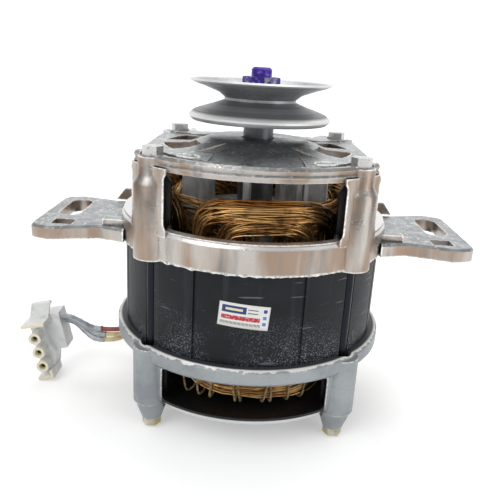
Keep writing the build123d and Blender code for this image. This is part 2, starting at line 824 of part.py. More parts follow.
with BuildPart() as shaft:
    with BuildSketch(Plane.XZ):
        outline(
            (0, lower_bearing_bottom_z - shaft_end_overhang),
            (journal_radius - shaft_thread_chamfer, lower_bearing_bottom_z - shaft_end_overhang),
            (journal_radius, lower_bearing_bottom_z),
            (journal_radius, lower_bearing_top_z),
            (shoulder_radius, lower_bearing_top_z),
            (shoulder_radius, core_bottom_z),
            (rotor_seat_radius, core_bottom_z),
            (rotor_seat_radius, core_top_z),
            (shoulder_radius, core_top_z),
            (shoulder_radius, upper_bearing_bottom_z),
            (journal_radius, upper_bearing_bottom_z),
            (journal_radius, pulley_bottom_z),
            (pulley_seat_radius, pulley_bottom_z),
            (pulley_seat_radius, pulley_seat_top_z),
            (thread_radius, pulley_seat_top_z),
            (thread_radius, shaft_end_z - shaft_thread_chamfer),
            (thread_radius - shaft_thread_chamfer, shaft_end_z),
            (0, shaft_end_z),
        )
    revolve(axis=Axis.Z)
    with BuildSketch(Plane.XY.offset(pulley_bottom_z)):
        with Locations((0, pulley_seat_radius)):
            Rectangle(key_width, key_height)
    extrude(amount=key_length, mode=Mode.SUBTRACT)

shaft.part.label = "shaft"

with BuildPart() as pulley_key:
    with BuildSketch(Plane.XY.offset(pulley_bottom_z)):
        with Locations((0, pulley_seat_radius)):
            Rectangle(key_width, key_height)
    extrude(amount=key_length)

pulley_key.part.label = "pulley_key"


# Rotor core and its cast cage with the fan blades

rotor_radius = core_bore_radius - air_gap
bar_length = bar_outer_radius - bar_inner_radius
bar_place = (bar_outer_radius + bar_inner_radius) / 2
blade_top_z = seat_z - blade_top_below_seat
blade_length = blade_outer_radius - blade_inner_radius

with BuildPart() as rotor_core:
    with BuildSketch(Plane.XY.offset(core_bottom_z)):
        Circle(rotor_radius)
        Circle(rotor_seat_radius, mode=Mode.SUBTRACT)
        with PolarLocations(bar_place, bar_count):
            Rectangle(bar_length, bar_width, mode=Mode.SUBTRACT)
    extrude(amount=core_length)

rotor_core.part.label = "rotor_core"

with BuildPart() as rotor_cage:
    with BuildSketch(Plane.XY.offset(core_bottom_z)):
        with PolarLocations(bar_place, bar_count):
            Rectangle(bar_length, bar_width)
    extrude(amount=core_length)
    for bottom in (core_top_z, core_bottom_z - end_ring_height):
        with BuildSketch(Plane.XY.offset(bottom)):
            Circle(rotor_radius - air_gap)
            Circle(end_ring_inner_radius, mode=Mode.SUBTRACT)
        extrude(amount=end_ring_height)
    for blade in range(blade_count):
        turn = 270 + blade_angle + 360 / blade_count * blade
        with BuildSketch(radial_plane(turn)) as blade_face:
            with Locations((blade_inner_radius, core_top_z)):
                Rectangle(blade_length, blade_top_z - core_top_z, align=(Align.MIN, Align.MIN))
            upper_corners = blade_face.vertices().group_by(Axis.Z)[-1]
            chamfer(upper_corners, length=blade_tip_round)
        extrude(amount=blade_thickness / 2, both=True)

rotor_cage.part.label = "rotor_cage"


# Pulley, its washer and nut

pulley_top_z = pulley_bottom_z + pulley_height
root_z = pulley_bottom_z + groove_root_height
groove_width = pulley_rim_radius - pulley_root_radius
upper_face_height = pulley_height - upper_lip - groove_root_height
upper_face = [
    (
        pulley_root_radius + along * groove_width,
        root_z + groove_root_land / 2 + up * (upper_face_height - groove_root_land / 2),
    )
    for along, up in upper_face_shares
]
lower_rim_top_z = pulley_bottom_z + lower_rim_height
lower_face = [
    (
        pulley_root_radius + along * groove_width,
        root_z - groove_root_land / 2 - down * (root_z - groove_root_land / 2 - lower_rim_top_z),
    )
    for along, down in lower_face_shares
]

with BuildPart() as pulley:
    with BuildSketch(Plane.XZ):
        outline(
            (pulley_seat_radius, pulley_bottom_z),
            (hub_face_radius, pulley_bottom_z),
            (hub_face_radius + lower_recess_depth, pulley_bottom_z + lower_recess_depth),
            (lower_recess_radius - lower_recess_depth, pulley_bottom_z + lower_recess_depth),
            (lower_recess_radius, pulley_bottom_z),
            (pulley_rim_radius - lower_rim_round, pulley_bottom_z),
            (pulley_rim_radius, pulley_bottom_z + lower_rim_round),
            (pulley_rim_radius, lower_rim_top_z - lower_rim_round / 2),
            *reversed(lower_face),
            (pulley_root_radius, root_z - groove_root_land / 2),
            (pulley_root_radius, root_z + groove_root_land / 2),
            *upper_face,
            (pulley_rim_radius, pulley_top_z - upper_lip / 2),
            (pulley_rim_radius - upper_lip / 2, pulley_top_z),
            (dish_edge_radius, pulley_top_z - upper_lip / 4),
            (dish_floor_radius + dish_floor_height / 2, pulley_bottom_z + dish_floor_height + upper_lip),
            (dish_floor_radius, pulley_bottom_z + dish_floor_height),
            (pulley_seat_radius, pulley_bottom_z + dish_floor_height),
        )
    revolve(axis=Axis.Z)
    with BuildSketch(Plane.XY.offset(pulley_bottom_z)):
        with Locations((0, pulley_seat_radius)):
            Rectangle(key_width, key_height)
    extrude(amount=key_length, mode=Mode.SUBTRACT)

pulley.part.label = "pulley"

washer_bottom_z = pulley_bottom_z + dish_floor_height
nut_bottom_z = washer_bottom_z + nut_washer_thickness

with BuildPart() as pulley_washer:
    with BuildSketch(Plane.XY.offset(washer_bottom_z)):
        Circle(nut_washer_diameter / 2)
        Circle(thread_radius, mode=Mode.SUBTRACT)
    extrude(amount=nut_washer_thickness)

pulley_washer.part.label = "pulley_washer"

with BuildPart() as pulley_nut:
    with BuildSketch(Plane.XY.offset(nut_bottom_z)):
        RegularPolygon(radius=nut_width / 2, side_count=6, major_radius=False)
    extrude(amount=nut_height)
    with BuildSketch(Plane.XZ):
        outline(
            (thread_radius, nut_bottom_z),
            (nut_width, nut_bottom_z),
            (nut_width, nut_bottom_z + nut_height - nut_chamfer * 2),
            (nut_width / 2, nut_bottom_z + nut_height),
            (thread_radius, nut_bottom_z + nut_height),
        )
    revolve(axis=Axis.Z, mode=Mode.INTERSECT)

pulley_nut.part.label = "pulley_nut"


# Leads and their sleeves

def corner_radii(points):
    """The largest arc for each corner of a route whose runs keep a tenth of their length straight."""
    places = [Vector(*point) for point in points]
    radii = []
    for before, here, after in zip(places, places[1:], places[2:]):
        turn = (here - before).get_angle(after - here)
        shorter = min((here - before).length, (after - here).length)
        radii.append(0.45 * shorter / tan(radians(turn / 2)))
    return radii


def cord(name, points, diameter):
    """A lead or a sleeve as a tube of flat sides along straight runs and tangent arcs."""
    radii = corner_radii(points)
    with BuildLine() as route:
        FilletPolyline(*points, radius=radii)
    path = route.wires()[0]
    with BuildPart() as tube:
        with BuildSketch(Plane(origin=path @ 0, z_dir=path % 0)):
            RegularPolygon(radius=diameter / 2, side_count=lead_sides)
        sweep(path=path)
    tube.part.label = name
    print(name, "length", round(path.length, 1), "radii", [round(r, 1) for r in radii])
    return tube.part


cords = [cord("lead_" + name, points, lead_diameter) for name, points in lead_routes.items()]
for number, lead_points in enumerate(lead_routes.values(), start=1):
    lead_end = Vector(*lead_points[-1])
    lead_way = (lead_end - Vector(*lead_points[-2])).normalized()
    sleeve_points = [tuple(lead_end), tuple(lead_end + lead_way * sleeve_first_run), *sleeve_routes[number]]
    cords.append(cord(f"lead_sleeve_{number}", sleeve_points, sleeve_diameter))


# Plug housing and its contacts

plug_frame = Plane(
    origin=(plug_x, plug_front_y, 0),
    x_dir=Vector(1, 0, 0).rotate(Axis.Y, plug_lean),
    z_dir=(0, -1, 0),
)
socket_heights = [plug_first_socket_height + plug_pitch * place for place in range(3)]
plug_depth = socket_length + plug_body_depth
flange_bottom = plug_body_top
latch_bottom = flange_bottom + flange_thickness
latch_left = flange_left + flange_thickness


def plug_plane(depth):
    """The plug's own plane at a depth behind its front face: x across it, y up its row of sockets."""
    return plug_frame.offset(-depth)


with BuildPart() as plug_housing:
    # three round sockets on a web in front of the body
    with BuildSketch(plug_plane(socket_length)):
        for height in socket_heights:
            with Locations((0, height)):
                Circle(socket_outer_radius)
    extrude(amount=socket_length)
    with BuildSketch(plug_plane(plug_depth)):
        outline(
            (-plug_body_half_width, plug_body_bottom),
            (plug_body_half_width, plug_body_bottom),
            (plug_body_half_width + side_fin_width, plug_body_bottom + side_fin_height),
            (plug_body_half_width, plug_body_bottom + 2 * side_fin_height),
            (plug_body_half_width, plug_body_top),
            (-plug_body_half_width, plug_body_top),
        )
    extrude(amount=plug_depth - socket_web_depth)
    # shroud over the wires, beside and behind the body
    with BuildSketch(plug_plane(socket_length + shroud_depth)):
        outline(
            (-plug_body_half_width, shroud_bottom),
            (shroud_side, shroud_bottom),
            (shroud_side, shroud_top - shroud_step_height),
            (shroud_side, shroud_top),
            (-plug_body_half_width, shroud_top),
        )
    extrude(amount=shroud_depth)
    # flange above the sockets and the latch plate that leans over it
    with BuildSketch(plug_plane(flange_depth)):
        outline(
            (flange_left, flange_bottom),
            (flange_right, flange_bottom),
            (flange_right, flange_bottom + flange_thickness),
            (flange_left, flange_bottom + flange_thickness),
        )
    extrude(amount=flange_depth)
    with BuildSketch(plug_plane(socket_length)):
        outline(
            (latch_left, latch_bottom),
            (latch_left + latch_width, latch_bottom),
            (latch_left + latch_width + latch_shift, latch_bottom + latch_height),
            (latch_left + latch_shift, latch_bottom + latch_height),
        )
    extrude(amount=latch_thickness)
    with BuildSketch(plug_plane(socket_length)):
        outline(
            (latch_left + latch_shift, latch_bottom + latch_height - latch_thickness),
            (latch_left + latch_width + latch_shift, latch_bottom + latch_height - latch_thickness),
            (latch_left + latch_width + latch_shift, latch_bottom + latch_height),
            (latch_left + latch_shift, latch_bottom + latch_height),
        )
    extrude(amount=latch_thickness + latch_bead)
    # hook below the sockets
    with BuildSketch(plug_plane(hook_depth)):
        outline(
            (hook_left, hook_bottom),
            (hook_right, hook_bottom),
            (hook_right, plug_body_bottom + hook_thickness),
            (hook_right - hook_thickness, plug_body_bottom + hook_thickness),
            (hook_right - hook_thickness, hook_bottom + hook_thickness),
            (hook_left, hook_bottom + hook_thickness),
        )
    extrude(amount=hook_depth)
    with BuildSketch(plug_plane(plug_depth)):
        for height in socket_heights:
            with Locations((0, height)):
                Circle(socket_bore_radius)
    extrude(amount=plug_depth, mode=Mode.SUBTRACT)

plug_housing.part.label = "plug_housing"

with BuildPart() as plug_contacts:
    with BuildSketch(plug_plane(plug_depth)):
        for height in socket_heights:
            with Locations((0, height)):
                Circle(contact_outer_radius)
                Circle(contact_bore_radius, mode=Mode.SUBTRACT)
    extrude(amount=plug_depth - contact_recess)

plug_contacts.part.label = "plug_contacts"


# Write one STEP file for each piece

pieces = [
    upper_end_shield.part,
    lower_end_shield.part,
    stator_core.part,
    slot_liners.part,
    slot_wedges.part,
    *main_coils,
    start_winding_upper.part,
    start_winding_lower.part,
    through_bolts.part,
    foot_nuts.part,
    *bearing_parts,
    wave_washer.part,
    shaft.part,
    pulley_key.part,
    rotor_core.part,
    rotor_cage.part,
    pulley.part,
    pulley_washer.part,
    pulley_nut.part,
    *cords,
    plug_housing.part,
    plug_contacts.part,
]
os.makedirs("parts", exist_ok=True)
for piece in pieces:
    export_step(piece, "parts/" + piece.label + ".step")
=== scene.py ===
"""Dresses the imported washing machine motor: leads, windings, lacing, label, finishes and a plain studio."""

import math

import bmesh
import bpy
import numpy as np
from mathutils import Matrix, Vector


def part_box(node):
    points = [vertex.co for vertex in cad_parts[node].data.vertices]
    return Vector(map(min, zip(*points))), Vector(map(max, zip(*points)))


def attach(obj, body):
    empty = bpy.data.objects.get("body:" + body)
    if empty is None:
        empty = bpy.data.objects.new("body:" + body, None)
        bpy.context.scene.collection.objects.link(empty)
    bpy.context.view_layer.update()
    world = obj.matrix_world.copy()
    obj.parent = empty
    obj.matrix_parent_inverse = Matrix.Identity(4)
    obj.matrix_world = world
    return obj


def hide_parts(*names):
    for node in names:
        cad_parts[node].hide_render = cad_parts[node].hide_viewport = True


bl_info = {
    "name": "Washing Machine Motor",
    "version": (1, 0, 0),
    "blender": (4, 5, 0),
    "location": "3D View > Sidebar > Motor",
    "description": "Builds the looks of a washing machine motor on its CAD frame",
    "category": "Object",
}

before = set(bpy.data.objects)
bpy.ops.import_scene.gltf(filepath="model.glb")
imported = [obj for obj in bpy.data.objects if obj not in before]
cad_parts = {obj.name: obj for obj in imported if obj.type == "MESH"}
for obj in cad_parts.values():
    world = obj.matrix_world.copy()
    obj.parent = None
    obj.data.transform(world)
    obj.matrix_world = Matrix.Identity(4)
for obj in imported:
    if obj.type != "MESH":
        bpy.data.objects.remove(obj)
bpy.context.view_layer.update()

# One millimetre in metres, and the front's angle in degrees, from +X towards +Y
millimetre = 0.001
front_angle = -90.0

# Levels that the frame gives
core_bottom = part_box("stator_core")[0].z
core_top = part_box("stator_core")[1].z
core_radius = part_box("stator_core")[1].x
coil_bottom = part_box("main_coil_front")[0].z
coil_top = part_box("main_coil_front")[1].z
start_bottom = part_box("start_winding_lower")[0].z
start_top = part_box("start_winding_upper")[1].z
skirt_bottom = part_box("upper_end_shield")[0].z
shaft_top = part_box("shaft")[1].z

# Main winding: each pole has an inner and an outer coil, in degrees and metres
pole_angles = {"front": 277.5, "right": 7.5, "rear": 97.5, "left": 187.5}
main_coils = {
    "inner": {"half_angle": 22.5, "crown_share": (0.46, 0.72)},
    "outer": {"half_angle": 37.5, "crown_share": (0.70, 1.0)},
}
leg_radius = (0.0446, 0.0503)
leg_half_width = 0.0021
crown_radius = (0.0474, 0.0538)
strands_across = 6
strands_nested = 7

# Start winding: nested arches between the poles, behind the main coils
start_shift = 45.0
start_half_angle = (14.0, 41.0)
start_radius = (0.0399, 0.0428)
start_crown_share = (0.22, 1.0)
start_across = 3
start_nested = 13

# Lacing round the lower end turns, by its angle from the front
lacing_angles = (-32.0, -24.0, -16.5, -5.0, -2.5, 11.0, 13.6, 23.0, 32.0)
lacing_rear_angles = (58.0, 78.0, 101.0, 122.0, 148.0, 171.0, 196.0, 219.0, 243.0, 262.0, 287.0, 306.0)
lacing_centre = (0.0506, 0.0276)
lacing_half = (0.0044, 0.0070)
lacing_steps = 28
cord_sides = 6

# Leads: the points of their routes in mm, and where each sleeve starts along x in metres
lead_diameter = 0.0026
sleeve_diameter = 0.0032
sleeve_sides = 16
bore_rings = 4
lead_routes = {
    "red": [
        (-44.6, -3.4, 37.6), (-52.0, -3.2, 36.8), (-60.0, -2.4, 32.8), (-67.6, -0.8, 29.8),
        (-74.4, 0.3, 28.3), (-80.6, 1.0, 27.9), (-86.0, 1.6, 27.6), (-91.6, 1.4, 30.6),
        (-98.6, 1.6, 34.2), (-105.4, 1.6, 35.0),
    ],
    "cream_1": [
        (-44.6, 0.6, 37.6), (-51.6, 0.7, 36.6), (-58.6, 1.0, 31.6), (-65.6, 1.2, 26.9),
        (-72.4, 1.5, 24.6), (-78.6, 1.8, 24.4), (-84.0, 2.1, 24.2), (-91.0, 4.2, 27.2),
        (-98.4, 5.0, 31.2), (-105.2, 5.0, 32.4),
    ],
    "cream_2": [
        (-44.6, 4.8, 37.6), (-51.6, 4.8, 36.6), (-58.8, 4.6, 32.1), (-64.4, 4.2, 26.3),
        (-69.6, 3.4, 22.6), (-74.8, 2.9, 20.7), (-80.0, 2.6, 20.7), (-85.4, 2.3, 20.7),
        (-91.6, 5.4, 23.6), (-98.0, 8.2, 28.4), (-104.8, 8.4, 29.8),
    ],
}
sleeve_starts = {"red": -0.0806, "cream_1": -0.0786, "cream_2": -0.0800}

# End shields: where their windows and the floor stand, and what angle is an edge
window_half_width = 0.0385
upper_window_top = 0.1288
lower_window_bottom = 0.0206
floor_bottom = 0.0100
shield_top = 0.1370
crease_angle = 32.0
merge_distance = 0.000002

# Casting marks: the skirt's radius, and the two ovals by their angle from the front
skirt_radius = 0.0670
skirt_foot = core_top - 0.0036
oval_angle = 31.5
oval_radius = 0.0562
oval_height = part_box("through_bolts")[1].z - 0.0034
oval_steps = 24

# Flash: how deep its inner edge stands in the skirt, its least depth, and how many of each wave go round
flash_bite = 0.0004
flash_least = 0.25
flash_waves = (9.0, 23.0, 47.0, 83.0)
flash_steps = 540

# Label on the core: its middle by angle from the front and height, its slope and its thickness
label_angle = -1.65
label_height = 0.0703
label_slope = -4.6
label_lift = 0.00012

# Camera of the photograph
camera_place = (-0.0008, -0.2989, 0.1766)
camera_pitch = 72.02
camera_roll = 3.29
camera_lens = 42.54
camera_sensor = 36.0

# Lamps: where each stands and how wide it is, and the point that they face
lamps = {
    "key": ((-0.75, -0.95, 1.05), 0.9),
    "fill": ((1.05, -0.65, 0.45), 0.8),
    "top": ((0.1, 0.5, 1.25), 1.0),
}
lamp_aim = (0.0, 0.0, 0.09)

# World: it grows lighter between two upward parts of the view, between two shares of its strength
world_rise = (-0.05, 0.55)
world_shares = (0.35, 1.25)

# Bands that finishes mark on the end shields, from low to high in metres
skirt_lip_band = (0.1010, 0.1040)
upper_inside_band = (skirt_bottom, 0.1305)
upper_window_band = (0.1040, 0.1292)
lower_window_band = (0.0120, 0.0388)

# Fades between finishes, from where a mask is 0 to where it is 1 in metres
dome_fade = (0.0380, 0.0300)
upper_inside_fade = (0.0595, 0.0560)
upper_jamb_side_fade = (0.0388, 0.0386)
upper_jamb_reach_fade = (0.0672, 0.0668)
lower_jamb_side_fade = (0.0390, 0.0386)
lower_jamb_reach_fade = (0.0676, 0.0670)
sill_reach_fade = (0.0628, 0.0632)
sill_height_fade = (0.0190, 0.0184)
sill_side_fade = (0.0372, 0.0366)
groove_height_fade = (0.0452, 0.0459)
groove_reach_fade = (0.0680, 0.0674)
scrape_height_fade = (0.0457, 0.0460)
scrape_reach_fade = (0.0674, 0.0680)
scrape_wander = 0.0013
dust_fade = (core_bottom + 0.0300, core_bottom + 0.0060)
coil_side_fade = (0.0285, 0.0345)
foot_fade = (0.0080, 0.0060)
ink_end_fade = (shaft_top - 0.0050, shaft_top - 0.0042)
ink_blots_fade = (shaft_top - 0.0140, shaft_top - 0.0130)
ink_foot_fade = (shaft_top - 0.0150, shaft_top - 0.0140)
pulley_rim_fade = (0.0326, 0.0340)
pulley_foot_fade = (0.1575, 0.1545)
socket_mouth_fade = (-0.0085, -0.0112)

# Rays that find edges, for a painted highlight, and inner corners, for painted shade: their reach, the mask's
# range, and if they go inside
edge_rays = (0.0012, 0.80, 0.55, True)
hollow_rays = (0.0040, 0.70, 0.30, False)

# Scales of wave textures, 314 / pitch in mm. Sheets are drawn every 1.05 mm, coarser than the real 0.5 mm so
# that they show, the yarn's twist every 0.75 mm, turning lines every 0.52 mm and the braid every 0.45 mm
sheet_scale = 300.0
twist_scale = 420.0
turning_scale = 600.0
braid_scale = 700.0


# Settings, as the sidebar shows them


def length_setting(label, text, value):
    """A length in metres for a property group."""
    return bpy.props.FloatProperty(
        name=label, description=text, default=value, min=0.0, precision=5, unit="LENGTH",
    )


def power_setting(label, value):
    """A lamp's power in watts for a property group."""
    return bpy.props.FloatProperty(name=label, description="Power of this lamp in watts", default=value)


class LeadSettings(bpy.types.PropertyGroup):
    """Sizes of the leads and their sleeves."""

    sleeve_wall: length_setting("Sleeve wall", "Thickness of the sleeving", 0.0003)
    line_resolution: bpy.props.IntProperty(name="Resolution", description="Steps of a run", default=10, min=2)


class WindingSettings(bpy.types.PropertyGroup):
    """Sizes of the strands of both windings."""

    strand: length_setting("Strand", "Diameter of one enamelled strand", 0.00080)
    looseness: length_setting("Looseness", "How far a strand strays from its neighbours", 0.0023)
    slot_depth: length_setting("Slot depth", "How far the strands reach into the slots", 0.004)
    steps: bpy.props.IntProperty(name="Steps", description="Runs along one strand", default=14, min=6)
    sides: bpy.props.IntProperty(name="Sides", description="Sides of one strand", default=4, min=3)
    seed: bpy.props.IntProperty(name="Seed", description="Start of the strands' random shifts", default=11)


class LacingSettings(bpy.types.PropertyGroup):
    """Sizes of the lacing cord."""

    diameter: length_setting("Diameter", "Diameter of the lacing cord", 0.0011)
    slant: bpy.props.FloatProperty(name="Slant", description="Lean of a loop in degrees", default=1.3)


class CastingSettings(bpy.types.PropertyGroup):
    """How far from the shaft the straight sides of the end shields stand."""

    plate_side: length_setting("Plate side", "From the shaft to a straight side of the top plate", 0.0535)
    floor_side: length_setting("Floor side", "From the shaft to a straight side of the floor", 0.0545)


class MarkSettings(bpy.types.PropertyGroup):
    """Sizes of the marks that casting left."""

    flash_depth: length_setting("Flash depth", "How far the flash hangs under the skirt", 0.0009)
    flash_proud: length_setting("Flash proud", "How far the flash stands out of the skirt", 0.0007)
    oval_length: length_setting("Oval length", "Length of an oval", 0.0108)
    oval_width: length_setting("Oval width", "Width of an oval", 0.0078)
    bead: length_setting("Bead", "Thickness of the bead round an oval", 0.0010)
    seed: bpy.props.IntProperty(name="Seed", description="Start of the flash's random shape", default=4)


class LabelSettings(bpy.types.PropertyGroup):
    """Size of the paper label."""

    width: length_setting("Width", "Width of the label", 0.0224)
    height: length_setting("Height", "Height of the label", 0.0112)


class StageSettings(bpy.types.PropertyGroup):
    """Sizes and light of the studio."""

    floor_half: length_setting("Floor half width", "Half the width of the floor", 5.0)
    key_power: power_setting("Key", 8.0)
    fill_power: power_setting("Fill", 3.6)
    top_power: power_setting("Top", 8.0)
    world_level: bpy.props.FloatProperty(name="World", description="Strength of the grey world", default=0.46)


# Shapes as whole arrays


def once_round(steps):
    """The angles in radians of equal steps once round."""
    return np.linspace(0.0, 2.0 * math.pi, steps, endpoint=False)


def boxy(values, power):
    """Each value with its size raised to a power, which makes a wave flatter on top for a power below 1."""
    return np.sign(values) * np.abs(values) ** power


def unit(vectors):
    """Each vector divided by its length."""
    return vectors / np.linalg.norm(vectors, axis=-1, keepdims=True)


def polar(radius, angle, height):
    """Points at a distance from the shaft, at an angle in degrees from +X towards +Y, at a height."""
    turn = np.radians(angle)
    return np.stack(np.broadcast_arrays(radius * np.cos(turn), radius * np.sin(turn), height), axis=-1)


def outward(points):
    """The unit vector straight away from the shaft at each point."""
    flat = points.copy()
    flat[..., 2] = 0.0
    return unit(flat)


def rings(lines, radius, sides, across, closed=False):
    """Rings of points round centre lines.

    lines holds lines x points x 3. With T the unit tangent and U the direction across at a point p,
    the ring is p + r (cos a N + sin a B), where N is T x U made unit, B is N x T and a runs round once.
    """
    if closed:
        tangent = np.roll(lines, -1, axis=1) - np.roll(lines, 1, axis=1)
    else:
        tangent = np.gradient(lines, axis=1)
    tangent = unit(tangent)
    normal = unit(np.cross(tangent, across))
    binormal = np.cross(normal, tangent)
    turn = once_round(sides)[:, None]
    size = np.broadcast_to(np.asarray(radius, dtype=float), lines.shape[:2])[..., None, None]
    circle = np.cos(turn) * normal[:, :, None, :] + np.sin(turn) * binormal[:, :, None, :]
    return lines[:, :, None, :] + size * circle


def tube_faces(count, steps, sides, closed=False):
    """Quads of count tubes, each of steps rings of sides points, facing outwards."""
    last = steps if closed else steps - 1
    tube, step, side = np.meshgrid(np.arange(count), np.arange(last), np.arange(sides), indexing="ij")
    start = tube * steps * sides
    here = start + step * sides
    ahead = start + (step + 1) % steps * sides
    beside = (side + 1) % sides
    return np.stack([here + side, ahead + side, ahead + beside, here + beside], axis=-1).reshape(-1, 4)


def patch_faces(rows, columns):
    """Quads of a grid of rows x columns points."""
    row, column = np.meshgrid(np.arange(rows - 1), np.arange(columns - 1), indexing="ij")
    start = row * columns + column
    return np.stack([start, start + 1, start + columns + 1, start + columns], axis=-1).reshape(-1, 4)


def add_object(name, data):
    """A new object with this data in the scene."""
    made = bpy.data.objects.new(name, data)
    bpy.context.scene.collection.objects.link(made)
    return made


def smooth_mesh(name, points, faces):
    """A smooth mesh from arrays of points and quads."""
    mesh = bpy.data.meshes.new(name)
    mesh.from_pydata(points.reshape(-1, 3), [], faces)
    mesh.polygons.foreach_set("use_smooth", np.ones(len(faces), dtype=bool))
    return mesh


def make_piece(name, points, finish_name, faces=None, closed=False, tones=None, face_uv=None):
    """A piece of the frame body with a finish: tubes of lines x rings x sides points, or given quads."""
    if faces is None:
        faces = tube_faces(*points.shape[:3], closed=closed)
    mesh = smooth_mesh(name, points, faces)
    if tones is not None:
        mesh.attributes.new("tone", "FLOAT", "POINT").data.foreach_set("value", tones.ravel())
    if face_uv is not None:
        mesh.uv_layers.new(name="label").data.foreach_set("uv", face_uv[faces].ravel())
    mesh.materials.append(finish(finish_name))
    mesh.update()
    piece = add_object(name, mesh)
    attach(piece, "frame")
    return piece


# Nodes of the finishes


def srgb(text):
    """The linear colour of a hex colour as the eye reads it."""
    shares = [int(text[place:place + 2], 16) / 255.0 for place in (1, 3, 5)]
    return (*[((s + 0.055) / 1.055) ** 2.4 if s > 0.04045 else s / 12.92 for s in shares], 1.0)


def node(where, kind, inputs=None, **settings):
    """The outputs of a new node of a kind, in a tree or beside a socket of it.

    It gets its settings, and a value, a hex colour or a socket for each named input.
    """
    tree = where.id_data
    made = tree.nodes.new("ShaderNode" + kind)
    for name, value in settings.items():
        setattr(made, name, value)
    for name, value in (inputs or {}).items():
        if isinstance(value, bpy.types.NodeSocket):
            tree.links.new(value, made.inputs[name])
        else:
            made.inputs[name].default_value = srgb(value) if isinstance(value, str) else value
    return made.outputs


def skin(colour, metallic, roughness, height, depth, **extra):
    """The shader of a surface, with a bump from a height mask whose depth is in mm."""
    bump = node(height, "Bump", {"Height": height, "Distance": depth * millimetre, "Strength": 1.0})
    values = {"Base Color": colour, "Metallic": metallic, "Roughness": roughness, "Normal": bump[0]}
    values.update({name.replace("_", " "): value for name, value in extra.items()})
    return node(height, "BsdfPrincipled", values)


def level(value, low, high):
    """A mask that goes from 0 where a value is low to 1 where it is high."""
    return node(value, "MapRange", {"Value": value, "From Min": low, "From Max": high})[0]


def patches(place, size, low, high, detail=4.0, stretch=(1.0, 1.0, 1.0)):
    """A mask of noise with features of a size in mm, 0 below low and 1 above high."""
    stretched = node(place, "Mapping", {"Vector": place, "Scale": stretch})[0]
    noise = node(place, "TexNoise", {"Vector": stretched, "Scale": 1000.0 / size, "Detail": detail})
    return level(noise[0], low, high)


def both(first, second):
    """The product of two masks."""
    return node(first, "Math", {0: first, 1: second}, operation="MULTIPLY")[0]


def layered(base, *layers):
    """A base colour with each (mask, colour) laid over it."""
    colour = base
    for mask, over in layers:
        inputs = {0: mask, 6: colour, 7: over}
        colour = node(mask, "Mix", inputs, data_type="RGBA")[2]
    return colour


def axis_part(vector, axis):
    """The part of a vector along X, Y or Z, for an axis of 0, 1 or 2."""
    return node(vector, "SeparateXYZ", {0: vector})[axis]


def facing_up(place, low, high):
    """A mask of the faces that look up, by the upward part of their normal."""
    return level(axis_part(node(place, "NewGeometry")["Normal"], 2), low, high)


def within(value, low, high, soft=0.0004):
    """A mask that is 1 where a value in metres lies between two others."""
    above = level(value, low - soft, low + soft)
    return both(above, level(value, high + soft, high - soft))


def corners(place, reach, low, high, inside):
    """A mask of where most short rays into the piece come out again, or rays out of it meet it again."""
    rays = node(place, "AmbientOcclusion", {"Distance": reach}, inside=inside, only_local=True, samples=8)
    return level(rays["AO"], low, high)


def side_distance(place):
    """The smaller of the distances from the two upright planes through the shaft."""
    widths = node(place, "VectorMath", {0: place}, operation="ABSOLUTE")[0]
    values = {axis: axis_part(widths, axis) for axis in (0, 1)}
    return node(place, "Math", values, operation="MINIMUM")[0]


def shaft_distance(place):
    """The distance from the shaft's axis in metres."""
    flat = node(place, "VectorMath", {0: place, 1: (1.0, 1.0, 0.0)}, operation="MULTIPLY")[0]
    return node(place, "VectorMath", {0: flat}, operation="LENGTH")[1]


# Finishes, each named for the real thing: a shader from the place in metres


def raw_cast_aluminium(place):
    """Bright raw casting: grey on top and warm on the sides as painted reflection, upright painted reflection
    streaks, painted glints and edge highlights, painted shade in hollows and windows.
    """
    distance, height = shaft_distance(place), axis_part(place, 2)
    # warm and dark: upright streaks of painted reflection on the sides, brown and grey bands that the
    # surroundings cast on the metal
    warm = patches(place, 12.0, 0.42, 0.60, 3.0, (1.0, 1.0, 0.2))
    dark = patches(place, 8.0, 0.56, 0.72, 3.0, (1.0, 1.0, 0.15))
    clouds = patches(place, 6.0, 0.40, 0.62, 8.0)
    # glints: painted highlights, small bright specks on the tops
    glints = patches(place, 2.0, 0.56, 0.66, 6.0)
    # This noise breaks up the painted shade in hollows and the painted highlight on edges into patches
    patchy_painted_light = patches(place, 1.6, 0.30, 0.55)
    near_shaft = level(distance, *dome_fade)
    # lip: a painted highlight along the upward face of the skirt's lip
    lip = both(within(height, *skirt_lip_band), facing_up(place, 0.2, 0.6))
    # inside and jamb: painted shade, near black inside the windows and on the windows' side walls
    inside = both(level(distance, *upper_inside_fade), within(height, *upper_inside_band))
    beside = level(side_distance(place), *upper_jamb_side_fade)
    jamb = both(beside, within(height, *upper_window_band))
    # sides and tops: lit and shaded copies of one metal, the sides painted lighter and warmer and the tops
    # greyer, as light falls on them
    sides = layered("#b9b3ad", (warm, "#9f8b7b"), (dark, "#85827f"))
    tops = layered("#a4a7a9", (clouds, "#86898c"), (near_shaft, "#a6a8aa"), (glints, "#cfcfcd"))
    # Laid over them: painted shade in hollows and painted highlights on edges
    colour = layered(
        sides, (facing_up(place, 0.25, 0.75), tops), (both(corners(place, *hollow_rays), patchy_painted_light), "#55504b"),
        (both(corners(place, *edge_rays), patchy_painted_light), "#fbfaf8"), (lip, "#e2e1df"),
        (both(jamb, level(distance, *upper_jamb_reach_fade)), "#2c2b2a"), (inside, "#1e1d1c"),
    )
    cloudy = patches(place, 9.0, 0.3, 0.7)
    rough = node(place, "MapRange", {"Value": cloudy, "To Min": 0.24, "To Max": 0.42})[0]
    return skin(colour, 0.85, rough, patches(place, 1.1, 0.2, 0.8), 0.08)


